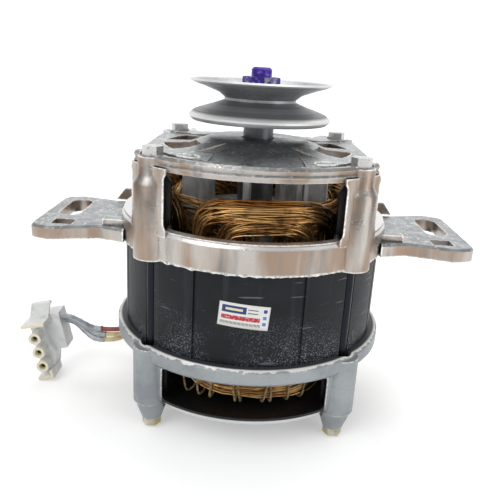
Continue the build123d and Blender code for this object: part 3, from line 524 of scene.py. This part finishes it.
def grey_painted_casting(place):
    """Silver-grey paint with a fine orange peel, a scraped rim with a dark groove inside it, painted shade in
    the windows, a painted highlight on the sill and edges, painted shade in hollows.
    """
    distance, height = shaft_distance(place), axis_part(place, 2)
    aside = side_distance(place)
    # window and inside: painted shade, near black on the inner faces seen through the windows
    window = both(level(aside, *lower_jamb_side_fade), within(height, *lower_window_band))
    inside = both(level(distance, *lower_jamb_reach_fade), window)
    # edge and sill: a painted highlight along the low outer sill under the windows, near white though it
    # faces down
    edge = both(level(distance, *sill_reach_fade), level(height, *sill_height_fade))
    sill = both(edge, level(aside, *sill_side_fade))
    clouds = patches(place, 16.0, 0.4, 0.66, 6.0)
    groove = both(level(height, *groove_height_fade), level(distance, *groove_reach_fade))
    torn = {0: patches(place, 3.6, 0.40, 0.70, 8.0), 1: scrape_wander, 2: height}
    ragged = node(place, "Math", torn, operation="MULTIPLY_ADD")[0]
    scraped = both(level(ragged, *scrape_height_fade), level(distance, *scrape_reach_fade))
    # This noise breaks up the painted shade in hollows and the painted highlight on edges into patches
    patchy_painted_light = patches(place, 1.3, 0.35, 0.55)
    specks = patches(place, 0.8, 0.64, 0.74)
    # Laid over the paint: painted shade in hollows and painted highlights on edges
    colour = layered(
        "#a4a9ac", (clouds, "#8d9296"), (specks, "#6c7073"),
        (both(corners(place, *hollow_rays), patchy_painted_light), "#4d5053"),
        (both(corners(place, *edge_rays), patchy_painted_light), "#eceded"),
        (groove, "#4a4d51"), (scraped, "#e4e2de"), (inside, "#161618"), (sill, "#e9eaeb"),
    )
    return skin(colour, 0.35, 0.44, patches(place, 0.9, 0.2, 0.8), 0.06)


def black_varnished_laminations(place):
    """Near-black blue varnish over stacked sheets: faint level lines, dusty specks low on the stack."""
    low = level(axis_part(place, 2), *dust_fade)
    specks = patches(place, 0.7, 0.52, 0.66, 6.0)
    dust = both(both(low, specks), patches(place, 24.0, 0.36, 0.56))
    clouds = patches(place, 12.0, 0.42, 0.72)
    upright = patches(place, 5.0, 0.58, 0.70, 3.0, (1.0, 1.0, 0.08))
    scuffs = patches(place, 5.0, 0.67, 0.71, 3.0, (0.25, 0.25, 3.0))
    colour = layered(
        "#0b0e13", (clouds, "#15191f"), (upright, "#20252b"), (dust, "#7c8187"), (scuffs, "#5a6067"),
    )
    sheets = node(place, "TexWave", {"Vector": place, "Scale": sheet_scale}, bands_direction="Z")[1]
    return skin(colour, 0.1, 0.50, sheets, 0.015, Specular_IOR_Level=0.3)


def enamelled_copper(place):
    """Brown-gold enamel over copper, a little different on each strand, with painted shade on most strands
    towards the sides.
    """
    tone = node(place, "Attribute", attribute_name="tone")["Fac"]
    stains = patches(place, 5.0, 0.50, 0.70)
    # aside and varnish: painted shade, strands towards the sides near the columns darkened, all but the
    # brightest
    aside = level(side_distance(place), *coil_side_fade)
    varnish = both(aside, level(tone, 0.85, 0.70))
    colour = layered("#a3692f", (tone, "#ffd690"), (stains, "#744822"), (varnish, "#2e2015"))
    return skin(colour, 0.8, 0.30, patches(place, 0.7, 0.3, 0.7), 0.03)


def lacing_thread(place):
    """Dull beige cotton with the twist of its yarn and brown varnish stains."""
    twist = node(place, "TexWave", {"Vector": place, "Scale": twist_scale}, bands_direction="DIAGONAL")[1]
    stains = patches(place, 2.5, 0.45, 0.65)
    colour = layered("#b9a27c", (stains, "#8a6a40"), (both(twist, stains), "#5d4526"))
    return skin(colour, 0.0, 0.85, twist, 0.12)


def zinc_plate(place):
    """Zinc on bolts and nuts: silver, a little yellow at the feet, painted black along the core."""
    height = axis_part(place, 2)
    yellow = both(level(height, *foot_fade), patches(place, 7.0, 0.42, 0.58))
    painted = within(height, core_bottom, core_top)
    dull = patches(place, 1.2, 0.55, 0.72)
    colour = layered("#cfcfcd", (yellow, "#b5a67c"), (dull, "#94928c"), (painted, "#22262b"))
    return skin(colour, 0.9, 0.34, patches(place, 0.8, 0.3, 0.7), 0.03)


def inked_steel(place):
    """Steel with violet marking ink brushed on: solid at the shaft's end, in patches lower down."""
    height = axis_part(place, 2)
    end = level(height, *ink_end_fade)
    band = both(level(height, *ink_blots_fade), patches(place, 3.2, 0.42, 0.50))
    inked = level(height, *ink_foot_fade)
    streaks = both(inked, patches(place, 2.0, 0.55, 0.7))
    colour = layered(
        "#7d8084", (inked, "#b9babc"), (band, "#4b35a0"), (end, "#4a2f9e"), (streaks, "#9d90d0"),
    )
    return skin(colour, 0.55, 0.36, patches(place, 0.9, 0.3, 0.7), 0.04)


def pressed_pulley_steel(place):
    """Dull grey steel of the pulley: turned faces with fine lines, speckled pits, a painted highlight on the
    rim and painted light on faces that look up.
    """
    # rim: a painted highlight on the outer rims of the flanges
    rim = level(shaft_distance(place), *pulley_rim_fade)
    pits = patches(place, 0.9, 0.54, 0.66, 6.0)
    lower = level(axis_part(place, 2), *pulley_foot_fade)
    clouds = patches(place, 12.0, 0.4, 0.7)
    # Faces that look straight up get painted light, lighter than the turned sides
    colour = layered(
        "#aeb0b1", (clouds, "#8f9294"), (lower, "#6d7073"), (both(lower, pits), "#4b4e51"),
        (pits, "#7d8083"), (rim, "#e6e6e5"), (facing_up(place, 0.93, 0.98), "#c9cacb"),
    )
    values = {"Vector": place, "Scale": turning_scale}
    turned = node(place, "TexWave", values, wave_type="RINGS", rings_direction="Z")[1]
    return skin(colour, 0.7, 0.40, turned, 0.012)


def bare_laminations(place):
    """The rotor's ground lamination edges, grey with fine level lines and a breath of rust."""
    colour = layered("#85868a", (patches(place, 3.0, 0.56, 0.7), "#6d4b35"))
    sheets = node(place, "TexWave", {"Vector": place, "Scale": sheet_scale}, bands_direction="Z")[1]
    return skin(colour, 0.9, 0.42, sheets, 0.02)


def grey_sleeving(place):
    """Shiny grey woven sleeving with a fine braid under its varnish."""
    braid = node(place, "TexWave", {"Vector": place, "Scale": braid_scale}, bands_direction="DIAGONAL")[1]
    colour = layered("#b4b8bd", (patches(place, 6.0, 0.45, 0.7), "#8b8f94"))
    return skin(colour, 0.25, 0.26, braid, 0.04, Coat_Weight=0.3)


def moulded_nylon(place):
    """Off-white moulded nylon: cream socket mouths, faint yellowing and dust in its corners."""
    mouths = level(axis_part(place, 1), *socket_mouth_fade)
    dust = patches(place, 4.0, 0.52, 0.72)
    colour = layered("#f0f1f1", (dust, "#dcdbd6"), (mouths, "#f1e9d2"))
    return skin(colour, 0.0, 0.40, patches(place, 1.0, 0.3, 0.7), 0.03, Subsurface_Weight=0.05)


def label_paper(place):
    """White printed paper with plain bars: a blue block, a red band, fine black bars, three blue dots."""
    spot = node(place, "UVMap", uv_map="label")[0]
    across, up = axis_part(spot, 0), axis_part(spot, 1)

    def bar(centre, half, height_centre, height_half):
        """The mask of a bar at a share of the label's width and height."""
        side = node(place, "Math", {0: across, 1: centre, 2: half}, operation="COMPARE")[0]
        rise = node(place, "Math", {0: up, 1: height_centre, 2: height_half}, operation="COMPARE")[0]
        return both(side, rise)

    stripes = node(place, "TexWave", {"Vector": spot, "Scale": 12.0, "Distortion": 2.0})[1]
    fine = level(stripes, 0.55, 0.45)
    ragged = patches(place, 0.7, 0.36, 0.42)
    dots = ((0.80, "#2c3f93"), (0.52, "#4b8fd0"), (0.26, "#3f86cc"))
    colour = layered(
        "#eceae6",
        (bar(0.30, 0.24, 0.74, 0.15), "#1f3a78"),
        (bar(0.30, 0.17, 0.74, 0.05), "#e8e0ae"),
        (both(bar(0.44, 0.38, 0.40, 0.09), ragged), "#c02b3c"),
        (both(bar(0.44, 0.40, 0.17, 0.06), fine), "#26262c"),
        *[(bar(0.67, 0.10, up_share, 0.02), "#55565a") for up_share in (0.80, 0.66)],
        *[(bar(0.91, 0.035, up_share, 0.07), blue) for up_share, blue in dots],
    )
    return skin(colour, 0.0, 0.45, patches(place, 0.8, 0.3, 0.7), 0.02)


def studio_paper(place):
    """White studio paper that reads as white behind the motor and keeps its soft shadow."""
    colour = layered("#f2f2f1", (patches(place, 400.0, 0.4, 0.6), "#eeeeee"))
    paper = node(place, "BsdfDiffuse", {"Color": colour})
    rays = node(place, "LightPath")
    seen = rays["Is Camera Ray"]
    for kind in ("Is Glossy Ray", "Is Transmission Ray"):
        seen = node(place, "Math", {0: seen, 1: rays[kind]}, operation="MAXIMUM")[0]
    away = node(place, "VectorMath", {0: place}, operation="LENGTH")[1]
    values = {"Value": away, "From Min": 0.4, "From Max": 1.8, "To Min": 0.36, "To Max": 0.72}
    lift = both(seen, node(place, "MapRange", values)[0])
    glow = node(place, "Emission", {"Color": "#ffffff", "Strength": lift})
    return node(place, "AddShader", {0: paper[0], 1: glow[0]})


own_finishes = {
    maker.__name__: maker
    for maker in (
        raw_cast_aluminium, grey_painted_casting, black_varnished_laminations, enamelled_copper,
        lacing_thread, zinc_plate, inked_steel, pressed_pulley_steel, bare_laminations, grey_sleeving,
        moulded_nylon, label_paper, studio_paper,
    )
}

# Finishes of one colour with patches of another over it and a fine grain: metallic, roughness, the two
# colours, how the patches and the grain are made, and the grain's depth in mm
mottled_finishes = {
    # The torn edge of the casting, whiter and rougher than its skin
    "cast_flash": (0.6, 0.5, "#f4f4f2", "#b9b4ad", (1.5, 0.48, 0.62), (0.5, 0.3, 0.7), 0.08),
    # Cream insulating paper, browned in patches
    "slot_paper": (0.0, 0.8, "#b8ab8d", "#7d6a4c", (4.0, 0.4, 0.6), (0.5, 0.3, 0.7), 0.03),
    # Turned steel: fine level turning lines and small dark rub marks
    "machined_steel": (
        1.0, 0.32, "#b9babc", "#85878a", (4.0, 0.5, 0.7), (1.0, 0.3, 0.7, 2.0, (0.05, 0.05, 6.0)), 0.02,
    ),
    # Grey pressure-cast aluminium of the fan blades, with flow marks and dust
    "rotor_aluminium": (
        0.05, 0.55, "#f3f5f7", "#c3c7ca", (5.0, 0.4, 0.65, 4.0, (1.0, 1.0, 0.4)), (1.4, 0.3, 0.7), 0.05,
    ),
    # Ground bearing races, bright with faint circular lines and a film of oil
    "bearing_steel": (
        1.0, 0.18, "#c9cacc", "#9d9a92", (5.0, 0.5, 0.7), (0.6, 0.3, 0.7, 2.0, (0.1, 0.1, 3.0)), 0.008,
    ),
    # Black nitrile seal lips with a greyish bloom
    "seal_rubber": (0.0, 0.6, "#17171a", "#3a3a3c", (3.0, 0.5, 0.7), (0.5, 0.3, 0.7), 0.02),
    # Smooth lead insulation, handled and slightly stained
    "red_insulation": (0.0, 0.42, "#a25048", "#7b3a33", (5.0, 0.48, 0.7), (1.5, 0.3, 0.7), 0.03),
    "cream_insulation": (0.0, 0.42, "#eedcab", "#c9b27c", (5.0, 0.48, 0.7), (1.5, 0.3, 0.7), 0.03),
    # Stamped brass of the plug's contacts, dulled by handling
    "contact_brass": (1.0, 0.34, "#c7ab68", "#8b7440", (1.5, 0.5, 0.7), (0.6, 0.3, 0.7), 0.02),
}

# The materials made so far, by name
materials_made = {}


def mottled(place, metallic, roughness, base, over, patch, grain, depth):
    """A shader from a row of the mottled finishes."""
    colour = layered(base, (patches(place, *patch), over))
    return skin(colour, metallic, roughness, patches(place, *grain), depth)


def finish(name):
    """The material of a name, made once, from its own function or else from its row."""
    if name not in materials_made:
        material = bpy.data.materials.new(name)
        material.use_nodes = True
        tree = material.node_tree
        tree.nodes.clear()
        place = node(tree, "TexCoord")["Object"]
        if name in own_finishes:
            shader = own_finishes[name](place)
        else:
            shader = mottled(place, *mottled_finishes[name])
        node(tree, "OutputMaterial", {"Surface": shader[0]})
        materials_made[name] = material
    return materials_made[name]


# Pieces


def arch_strands(angle, half_angle, base, crown, legs, crowns, across, nested, settings, chance):
    """Centre lines of nested arches of wire over one pole, as strands x points x 3.

    A strand at share a across and share b outwards in the nest follows, for p from 0 to pi,
    angle = pole + half(b) s |cos p|^0.55, height = base + rise(b) sin(p)^0.5 and
    radius = leg(a) + (crown(a) - leg(a)) sin(p)^0.5, plus a small seeded sway of sin p times sines of p.
    """
    a, b = np.meshgrid(np.linspace(0.0, 1.0, across), np.linspace(0.0, 1.0, nested), indexing="ij")
    a = a.reshape(-1, 1) + chance.uniform(-0.05, 0.05, (across * nested, 1))
    b = b.reshape(-1, 1) + chance.uniform(-0.05, 0.05, (across * nested, 1))
    a, b = np.clip(a, 0.0, 1.0), np.clip(b, 0.0, 1.0)
    p = np.linspace(0.0, math.pi, settings.steps + 1)[None, :]
    swing = boxy(np.cos(p), 0.55)
    lift = np.sin(p).clip(0.0) ** 0.5
    half = half_angle[0] + (half_angle[1] - half_angle[0]) * b
    rise = crown[0] + (crown[1] - crown[0]) * b - base
    radius = legs[0] + (legs[1] - legs[0]) * a
    radius = radius + (crowns[0] + (crowns[1] - crowns[0]) * a - radius) * lift
    phases = chance.uniform(0.0, 2.0 * math.pi, (4, across * nested, 1))
    sway = settings.looseness * np.sin(p)
    turn = angle + half * swing + np.degrees(sway * np.sin(2.0 * p + phases[0]) / radius)
    height = base + rise * lift + 0.5 * sway * (np.sin(3.0 * p + phases[1]) - 1.0) * np.sign(rise)
    radius = radius + 0.3 * sway * np.sin(4.0 * p + phases[2])
    return polar(radius, turn, height)


def strand_piece(name, bundles, settings, chance, replaced):
    """One mesh of round strands with a tone of its own on each, in place of a CAD node."""
    lines = np.concatenate(bundles)
    points = rings(lines, settings.strand / 2.0, settings.sides, outward(lines))
    tones = np.broadcast_to(chance.uniform(0.0, 1.0, (len(lines), 1, 1)), points.shape[:3]).astype(np.float32)
    piece = make_piece(name, points, "enamelled_copper", tones=np.ascontiguousarray(tones))
    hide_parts(replaced)


node_finishes = {
    "raw_cast_aluminium": ("upper_end_shield",),
    "grey_painted_casting": ("lower_end_shield",),
    "black_varnished_laminations": ("stator_core",),
    "slot_paper": ("slot_liners", "slot_wedges"),
    "enamelled_copper": (
        "main_coil_right", "main_coil_rear", "main_coil_left", "main_coil_front", "start_winding_upper",
        "start_winding_lower",
    ),
    "zinc_plate": ("through_bolts", "foot_nuts", "pulley_washer"),
    "bearing_steel": (
        "upper_bearing_outer_race", "lower_bearing_outer_race", "upper_bearing_inner_race",
        "lower_bearing_inner_race", "wave_washer",
    ),
    "seal_rubber": ("upper_bearing_seals", "lower_bearing_seals"),
    "red_insulation": ("lead_red",),
    "cream_insulation": ("lead_cream_1", "lead_cream_2"),
    "grey_sleeving": ("lead_sleeve_1", "lead_sleeve_2", "lead_sleeve_3"),
    "moulded_nylon": ("plug_housing",),
    "contact_brass": ("plug_contacts",),
    "inked_steel": ("shaft", "pulley_nut"),
    "machined_steel": ("pulley_key",),
    "bare_laminations": ("rotor_core",),
    "rotor_aluminium": ("rotor_cage",),
    "pressed_pulley_steel": ("pulley",),
}


class MOTOR_OT_camera(bpy.types.Operator):
    """Place the camera of the photograph"""

    bl_idname = "motor.camera"
    bl_label = "Camera"

    def execute(self, context):
        data = bpy.data.cameras.new("camera")
        data.lens = camera_lens
        data.sensor_width = camera_sensor
        data.clip_start = 0.01
        camera = add_object("camera", data)
        pitch = Matrix.Rotation(math.radians(camera_pitch), 4, "X")
        roll = Matrix.Rotation(math.radians(camera_roll), 4, "Z")
        camera.matrix_world = Matrix.Translation(camera_place) @ pitch @ roll
        context.scene.camera = camera
        return {"FINISHED"}


class MOTOR_OT_leads(bpy.types.Operator):
    """Lay the three leads with their sleeves from the winding to the plug"""

    bl_idname = "motor.leads"
    bl_label = "Leads"

    def execute(self, context):
        settings = context.scene.motor_leads
        for number, (name, points) in enumerate(lead_routes.items(), start=1):
            route = np.array(points) * millimetre
            lead = self.lead(name, route, settings)
            sleeve = self.sleeve(name, number, lead, settings)
            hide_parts("lead_" + name)
            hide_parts(f"lead_sleeve_{number}")
        return {"FINISHED"}

    def lead(self, name, route, settings):
        """A lead as one open NURBS spline with the route's points as its control points."""
        data = bpy.data.curves.new("lead_wire_" + name, "CURVE")
        data.dimensions = "3D"
        data.resolution_u = settings.line_resolution
        data.bevel_depth = lead_diameter / 2.0
        data.bevel_resolution = 3
        data.use_fill_caps = True
        spline = data.splines.new("NURBS")
        spline.points.add(len(route) - 1)
        spline.points.foreach_set("co", np.column_stack([route, np.ones(len(route))]).ravel())
        spline.order_u = 3
        spline.use_endpoint_u = True
        insulation = name.split("_")[0] + "_insulation"
        data.materials.append(finish(insulation))
        lead = add_object(data.name, data)
        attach(lead, "frame")
        return lead

    def sleeve(self, name, number, lead, settings):
        """A sleeve as a thin tube along the lead's own line, open at the end that shows.

        Its outer rings run from the open end to the plug, 5% in and out in waves and 12% flared at that end.
        Before them come a few rings of the bore, so that the wall has its thickness at the mouth.
        """
        bare = bpy.data.objects.new("bare_line", lead.data.copy())
        bare.data.bevel_depth = 0.0
        line_mesh = bpy.data.meshes.new_from_object(bare)
        line = np.array([vertex.co for vertex in line_mesh.vertices])
        bpy.data.meshes.remove(line_mesh)
        bpy.data.curves.remove(bare.data)
        line = line[line[:, 0] < sleeve_starts[name]][None]
        side = np.broadcast_to((0.0, 1.0, 0.0), line.shape)
        share = np.linspace(0.0, 1.0, line.shape[1])
        puckers = 1.0 + 0.05 * np.sin(share * 40.0 + number) + 0.12 * np.exp(-share * 30.0)
        radius = sleeve_diameter / 2.0 * puckers[None]
        outer = rings(line, radius, sleeve_sides, side)
        inner = rings(line, radius - settings.sleeve_wall, sleeve_sides, side)
        points = np.concatenate([inner[:, bore_rings - 1::-1], outer], axis=1)
        return make_piece(f"sleeve_{number}", points, "grey_sleeving")


class MOTOR_OT_main_winding(bpy.types.Operator):
    """Wind the four main poles as bundles of strands above and below the core"""

    bl_idname = "motor.main_winding"
    bl_label = "Main winding"

    def execute(self, context):
        settings = context.scene.motor_winding
        chance = np.random.default_rng(settings.seed)
        depth = settings.slot_depth
        ends = ((core_top - depth, core_top, coil_top), (core_bottom + depth, core_bottom, coil_bottom))
        spread = math.degrees(leg_half_width / leg_radius[0])
        for name, angle in pole_angles.items():
            bundles = []
            for base, face, crown in ends:
                for coil in main_coils.values():
                    low, high = [face + (crown - face) * share for share in coil["crown_share"]]
                    half = (coil["half_angle"] - spread, coil["half_angle"] + spread)
                    bundles.append(arch_strands(
                        angle, half, base, (low, high), leg_radius, crown_radius, strands_across,
                        strands_nested, settings, chance,
                    ))
            strand_piece("main_strands_" + name, bundles, settings, chance, "main_coil_" + name)
        return {"FINISHED"}


class MOTOR_OT_start_winding(bpy.types.Operator):
    """Wind the start winding behind the main coils, above and below the core"""

    bl_idname = "motor.start_winding"
    bl_label = "Start winding"

    def execute(self, context):
        settings = context.scene.motor_winding
        chance = np.random.default_rng(settings.seed + 1)
        ends = {
            "upper": (core_top - settings.slot_depth, core_top, start_top),
            "lower": (core_bottom + settings.slot_depth, core_bottom, start_bottom),
        }
        for name, (base, face, crown) in ends.items():
            crowns = [face + (crown - face) * share for share in start_crown_share]
            bundles = [
                arch_strands(
                    angle + start_shift, start_half_angle, base, crowns, start_radius, start_radius,
                    start_across, start_nested, settings, chance,
                )
                for angle in pole_angles.values()
            ]
            strand_piece("start_strands_" + name, bundles, settings, chance, "start_winding_" + name)
        return {"FINISHED"}


class MOTOR_OT_lacing(bpy.types.Operator):
    """Tie lacing cord round the lower end turns"""

    bl_idname = "motor.lacing"
    bl_label = "Lacing"

    def execute(self, context):
        """Each loop goes round the end turns: with p once round, it is a rounded box of that half size."""
        settings = context.scene.motor_lacing
        angles = front_angle + np.array(lacing_angles + lacing_rear_angles)[:, None]
        p = once_round(lacing_steps)[None, :]
        across, up = boxy(np.cos(p), 0.6), boxy(np.sin(p), 0.6)
        lean = settings.slant * np.sin(angles * 3.0)
        radius = lacing_centre[0] + lacing_half[0] * across
        lines = polar(radius, angles + lean * up, lacing_centre[1] + lacing_half[1] * up)
        sideways = polar(np.ones_like(lean), angles + 90.0, 0.0) * np.ones((1, p.shape[1], 1))
        points = rings(lines, settings.diameter / 2.0, cord_sides, sideways, closed=True)
        piece = make_piece("lacing", points, "lacing_thread", closed=True)
        return {"FINISHED"}


class MOTOR_OT_castings(bpy.types.Operator):
    """Give both end shields the straight sides that they have at the left, right and rear"""

    bl_idname = "motor.castings"
    bl_label = "Castings"

    def execute(self, context):
        settings = context.scene.motor_castings
        plate = (settings.plate_side, upper_window_top, shield_top)
        floor = (settings.floor_side, floor_bottom, lower_window_bottom)
        self.trimmed(context, "upper_end_shield", plate, "raw_cast_aluminium", "cast_aluminium")
        self.trimmed(context, "lower_end_shield", floor, "grey_painted_casting", "grey_casting")
        return {"FINISHED"}

    def trimmed(self, context, name, sizes, finish_name, slot_name):
        """A merged copy of a CAD node in its place, without what stands past its straight sides."""
        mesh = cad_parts[name].data.copy()
        merged = bmesh.new()
        merged.from_mesh(mesh)
        bmesh.ops.remove_doubles(merged, verts=merged.verts, dist=merge_distance)
        merged.to_mesh(mesh)
        merged.free()
        custom = mesh.attributes.get("custom_normal")
        if custom:
            mesh.attributes.remove(custom)
        piece = add_object("casting_" + name, mesh)
        cutter = self.cutter(*sizes)
        trim = piece.modifiers.new("trim", "BOOLEAN")
        trim.operation = "DIFFERENCE"
        trim.solver = "EXACT"
        trim.object = cutter
        context.view_layer.update()
        cut = bpy.data.meshes.new_from_object(piece.evaluated_get(context.evaluated_depsgraph_get()))
        piece.modifiers.clear()
        piece.data = cut
        bpy.data.objects.remove(cutter)
        cut.polygons.foreach_set("use_smooth", np.ones(len(cut.polygons), dtype=bool))
        cut.set_sharp_from_angle(angle=math.radians(crease_angle))
        cut.materials.clear()
        cut.materials.append(finish(finish_name))
        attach(piece, "frame")
        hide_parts(name)

    def cutter(self, distance, bottom, top):
        """Three boxes as wide as a window, to the right, the rear and the left, from a distance outwards."""
        ends = (distance, 2.0 * distance), (-window_half_width, window_half_width), (bottom, top)
        out, side, up = np.array(np.meshgrid(*ends, indexing="ij")).reshape(3, 1, 8)
        turns = np.radians([[0.0], [90.0], [180.0]])
        x = out * np.cos(turns) - side * np.sin(turns)
        y = out * np.sin(turns) + side * np.cos(turns)
        points = np.stack(np.broadcast_arrays(x, y, up), axis=-1)
        sides = np.array([(0, 1, 3, 2), (4, 6, 7, 5), (0, 4, 5, 1), (2, 3, 7, 6), (0, 2, 6, 4), (1, 5, 7, 3)])
        faces = (sides[None] + 8 * np.arange(3)[:, None, None]).reshape(-1, 4)
        return add_object("cutter", smooth_mesh("cutter", points, faces))


class MOTOR_OT_casting_marks(bpy.types.Operator):
    """Leave the ragged flash under the skirt and the two blank oval beads on the top plate"""

    bl_idname = "motor.casting_marks"
    bl_label = "Casting marks"

    def execute(self, context):
        settings = context.scene.motor_marks
        self.flash(settings)
        self.ovals(settings)
        return {"FINISHED"}

    def flash(self, settings):
        """A thin sheet under the skirt, as deep as a least share plus |the mean of seeded sines|."""
        chance = np.random.default_rng(settings.seed)
        turn = np.linspace(0.0, 360.0, flash_steps, endpoint=False)
        waves = np.array(flash_waves)[:, None]
        ragged = np.sin(np.radians(turn) * waves + chance.uniform(0.0, 6.0, waves.shape)).mean(axis=0)
        drop = settings.flash_depth * (flash_least + np.abs(ragged))
        shape = ((0.0, 0.6), (1.0, 0.4), (1.0, -1.0), (0.0, -1.0))
        radius = np.array([skirt_radius - flash_bite + settings.flash_proud * out for out, _ in shape])
        height = np.stack([skirt_foot + drop * up for _, up in shape], axis=-1)
        points = polar(radius[None, :], turn[:, None], height)[None]
        piece = make_piece("casting_flash", points, "cast_flash", closed=True)

    def ovals(self, settings):
        """Each bead is a thin tube along an ellipse that lies on the plate."""
        p = once_round(oval_steps)[None, :]
        angles = front_angle + np.array([[-oval_angle], [oval_angle]])
        along = np.degrees(settings.oval_length / 2.0 * np.cos(p) / oval_radius)
        radius = oval_radius + settings.oval_width / 2.0 * np.sin(p)
        lines = polar(radius, angles + along, oval_height)
        upright = np.broadcast_to((0.0, 0.0, 1.0), lines.shape)
        points = rings(lines, settings.bead / 2.0, cord_sides, upright, closed=True)
        piece = make_piece("cast_ovals", points, "cast_flash", closed=True)


class MOTOR_OT_label(bpy.types.Operator):
    """Stick the plain printed label on the core"""

    bl_idname = "motor.label"
    bl_label = "Label"

    def execute(self, context):
        """A point at shares u and v of the label lies on the core's round side, turned by the slope."""
        settings = context.scene.motor_label
        rows, columns = 9, 25
        shares = np.linspace(0.0, 1.0, rows), np.linspace(0.0, 1.0, columns)
        up, across = np.meshgrid(*shares, indexing="ij")
        slope = math.radians(label_slope)
        x = (across - 0.5) * settings.width
        y = (up - 0.5) * settings.height
        radius = core_radius + label_lift
        turn = front_angle + label_angle + np.degrees((x * math.cos(slope) - y * math.sin(slope)) / radius)
        points = polar(radius, turn, label_height + x * math.sin(slope) + y * math.cos(slope))
        uv = np.stack([across, up], axis=-1).reshape(-1, 2)
        piece = make_piece("label", points, "label_paper", patch_faces(rows, columns), face_uv=uv)
        piece.modifiers.new("paper", "SOLIDIFY").thickness = label_lift
        return {"FINISHED"}


class MOTOR_OT_finishes(bpy.types.Operator):
    """Give every CAD node its finish"""

    bl_idname = "motor.finishes"
    bl_label = "Finishes"

    def execute(self, context):
        for finish_name, cad_names in node_finishes.items():
            for cad_name in cad_names:
                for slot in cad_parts[cad_name].material_slots:
                    slot.material = finish(finish_name)
        return {"FINISHED"}


class MOTOR_OT_stage(bpy.types.Operator):
    """Set up the pale floor, the backdrop, the lamps and the world"""

    bl_idname = "motor.stage"
    bl_label = "Stage"

    def execute(self, context):
        settings = context.scene.motor_stage
        self.floor(settings)
        for name, (place, size) in lamps.items():
            self.lamp(name, place, size, getattr(settings, name + "_power"))
        world = bpy.data.worlds.new("studio")
        world.use_nodes = True
        tree = world.node_tree
        tree.nodes.clear()
        upwards = axis_part(node(tree, "TexCoord")["Generated"], 2)
        rise = level(upwards, *world_rise)
        low, high = [share * settings.world_level for share in world_shares]
        strength = node(tree, "MapRange", {"Value": rise, "To Min": low, "To Max": high})[0]
        light = node(tree, "Background", {"Color": "#f4f5f6", "Strength": strength})
        node(tree, "OutputWorld", {"Surface": light[0]})
        context.scene.world = world
        context.scene.view_settings.view_transform = "Standard"
        return {"FINISHED"}

    def floor(self, settings):
        """A floor that bends up into a backdrop, z = rise (1 - cos q), y = back + rise sin q."""
        half = settings.floor_half
        back, rise, wall, steps = 2.0, 1.2, 2.5, 13
        q = np.linspace(0.0, math.pi / 2.0, steps)
        y = np.concatenate([[-half], back + rise * np.sin(q), [back + rise]])
        z = np.concatenate([[0.0], rise * (1.0 - np.cos(q)), [rise + wall]])
        x = np.array([-half, half])
        points = np.stack(np.broadcast_arrays(x[None, :], y[:, None], z[:, None]), axis=-1)
        mesh = smooth_mesh("floor", points, patch_faces(len(y), 2))
        mesh.materials.append(finish("studio_paper"))
        add_object("floor", mesh)

    def lamp(self, name, place, size, power):
        """A square soft lamp that points at the motor's middle."""
        data = bpy.data.lights.new(name, "AREA")
        data.size = size
        data.energy = power
        lamp = add_object(name, data)
        lamp.location = place
        aim = Vector(lamp_aim) - Vector(place)
        lamp.rotation_euler = aim.to_track_quat("-Z", "Y").to_euler()


class MOTOR_PT_panel(bpy.types.Panel):
    """The motor's settings and steps in the sidebar"""

    bl_idname = "MOTOR_PT_panel"
    bl_label = "Washing Machine Motor"
    bl_space_type = "VIEW_3D"
    bl_region_type = "UI"
    bl_category = "Motor"

    def draw(self, context):
        for name, group in setting_groups.items():
            box = self.layout.box()
            for field in group.__annotations__:
                box.prop(getattr(context.scene, name), field)
        for operator in operators:
            self.layout.operator(operator.bl_idname)


setting_groups = {
    "motor_leads": LeadSettings,
    "motor_winding": WindingSettings,
    "motor_lacing": LacingSettings,
    "motor_castings": CastingSettings,
    "motor_marks": MarkSettings,
    "motor_label": LabelSettings,
    "motor_stage": StageSettings,
}
operators = (
    MOTOR_OT_camera, MOTOR_OT_leads, MOTOR_OT_main_winding, MOTOR_OT_start_winding, MOTOR_OT_lacing,
    MOTOR_OT_castings, MOTOR_OT_casting_marks, MOTOR_OT_label, MOTOR_OT_finishes, MOTOR_OT_stage,
)


def register():
    """Adds the settings, the operators and the panel to Blender."""
    for name, group in setting_groups.items():
        bpy.utils.register_class(group)
        setattr(bpy.types.Scene, name, bpy.props.PointerProperty(type=group))
    for item in (*operators, MOTOR_PT_panel):
        bpy.utils.register_class(item)


def unregister():
    """Takes them out again."""
    for item in (MOTOR_PT_panel, *reversed(operators)):
        bpy.utils.unregister_class(item)
    for name, group in setting_groups.items():
        delattr(bpy.types.Scene, name)
        bpy.utils.unregister_class(group)


def main():
    """Makes the whole scene, camera and leads first."""
    register()
    for operator in operators:
        getattr(bpy.ops.motor, operator.bl_idname.removeprefix("motor."))()


if __name__ == "__main__":
    main()
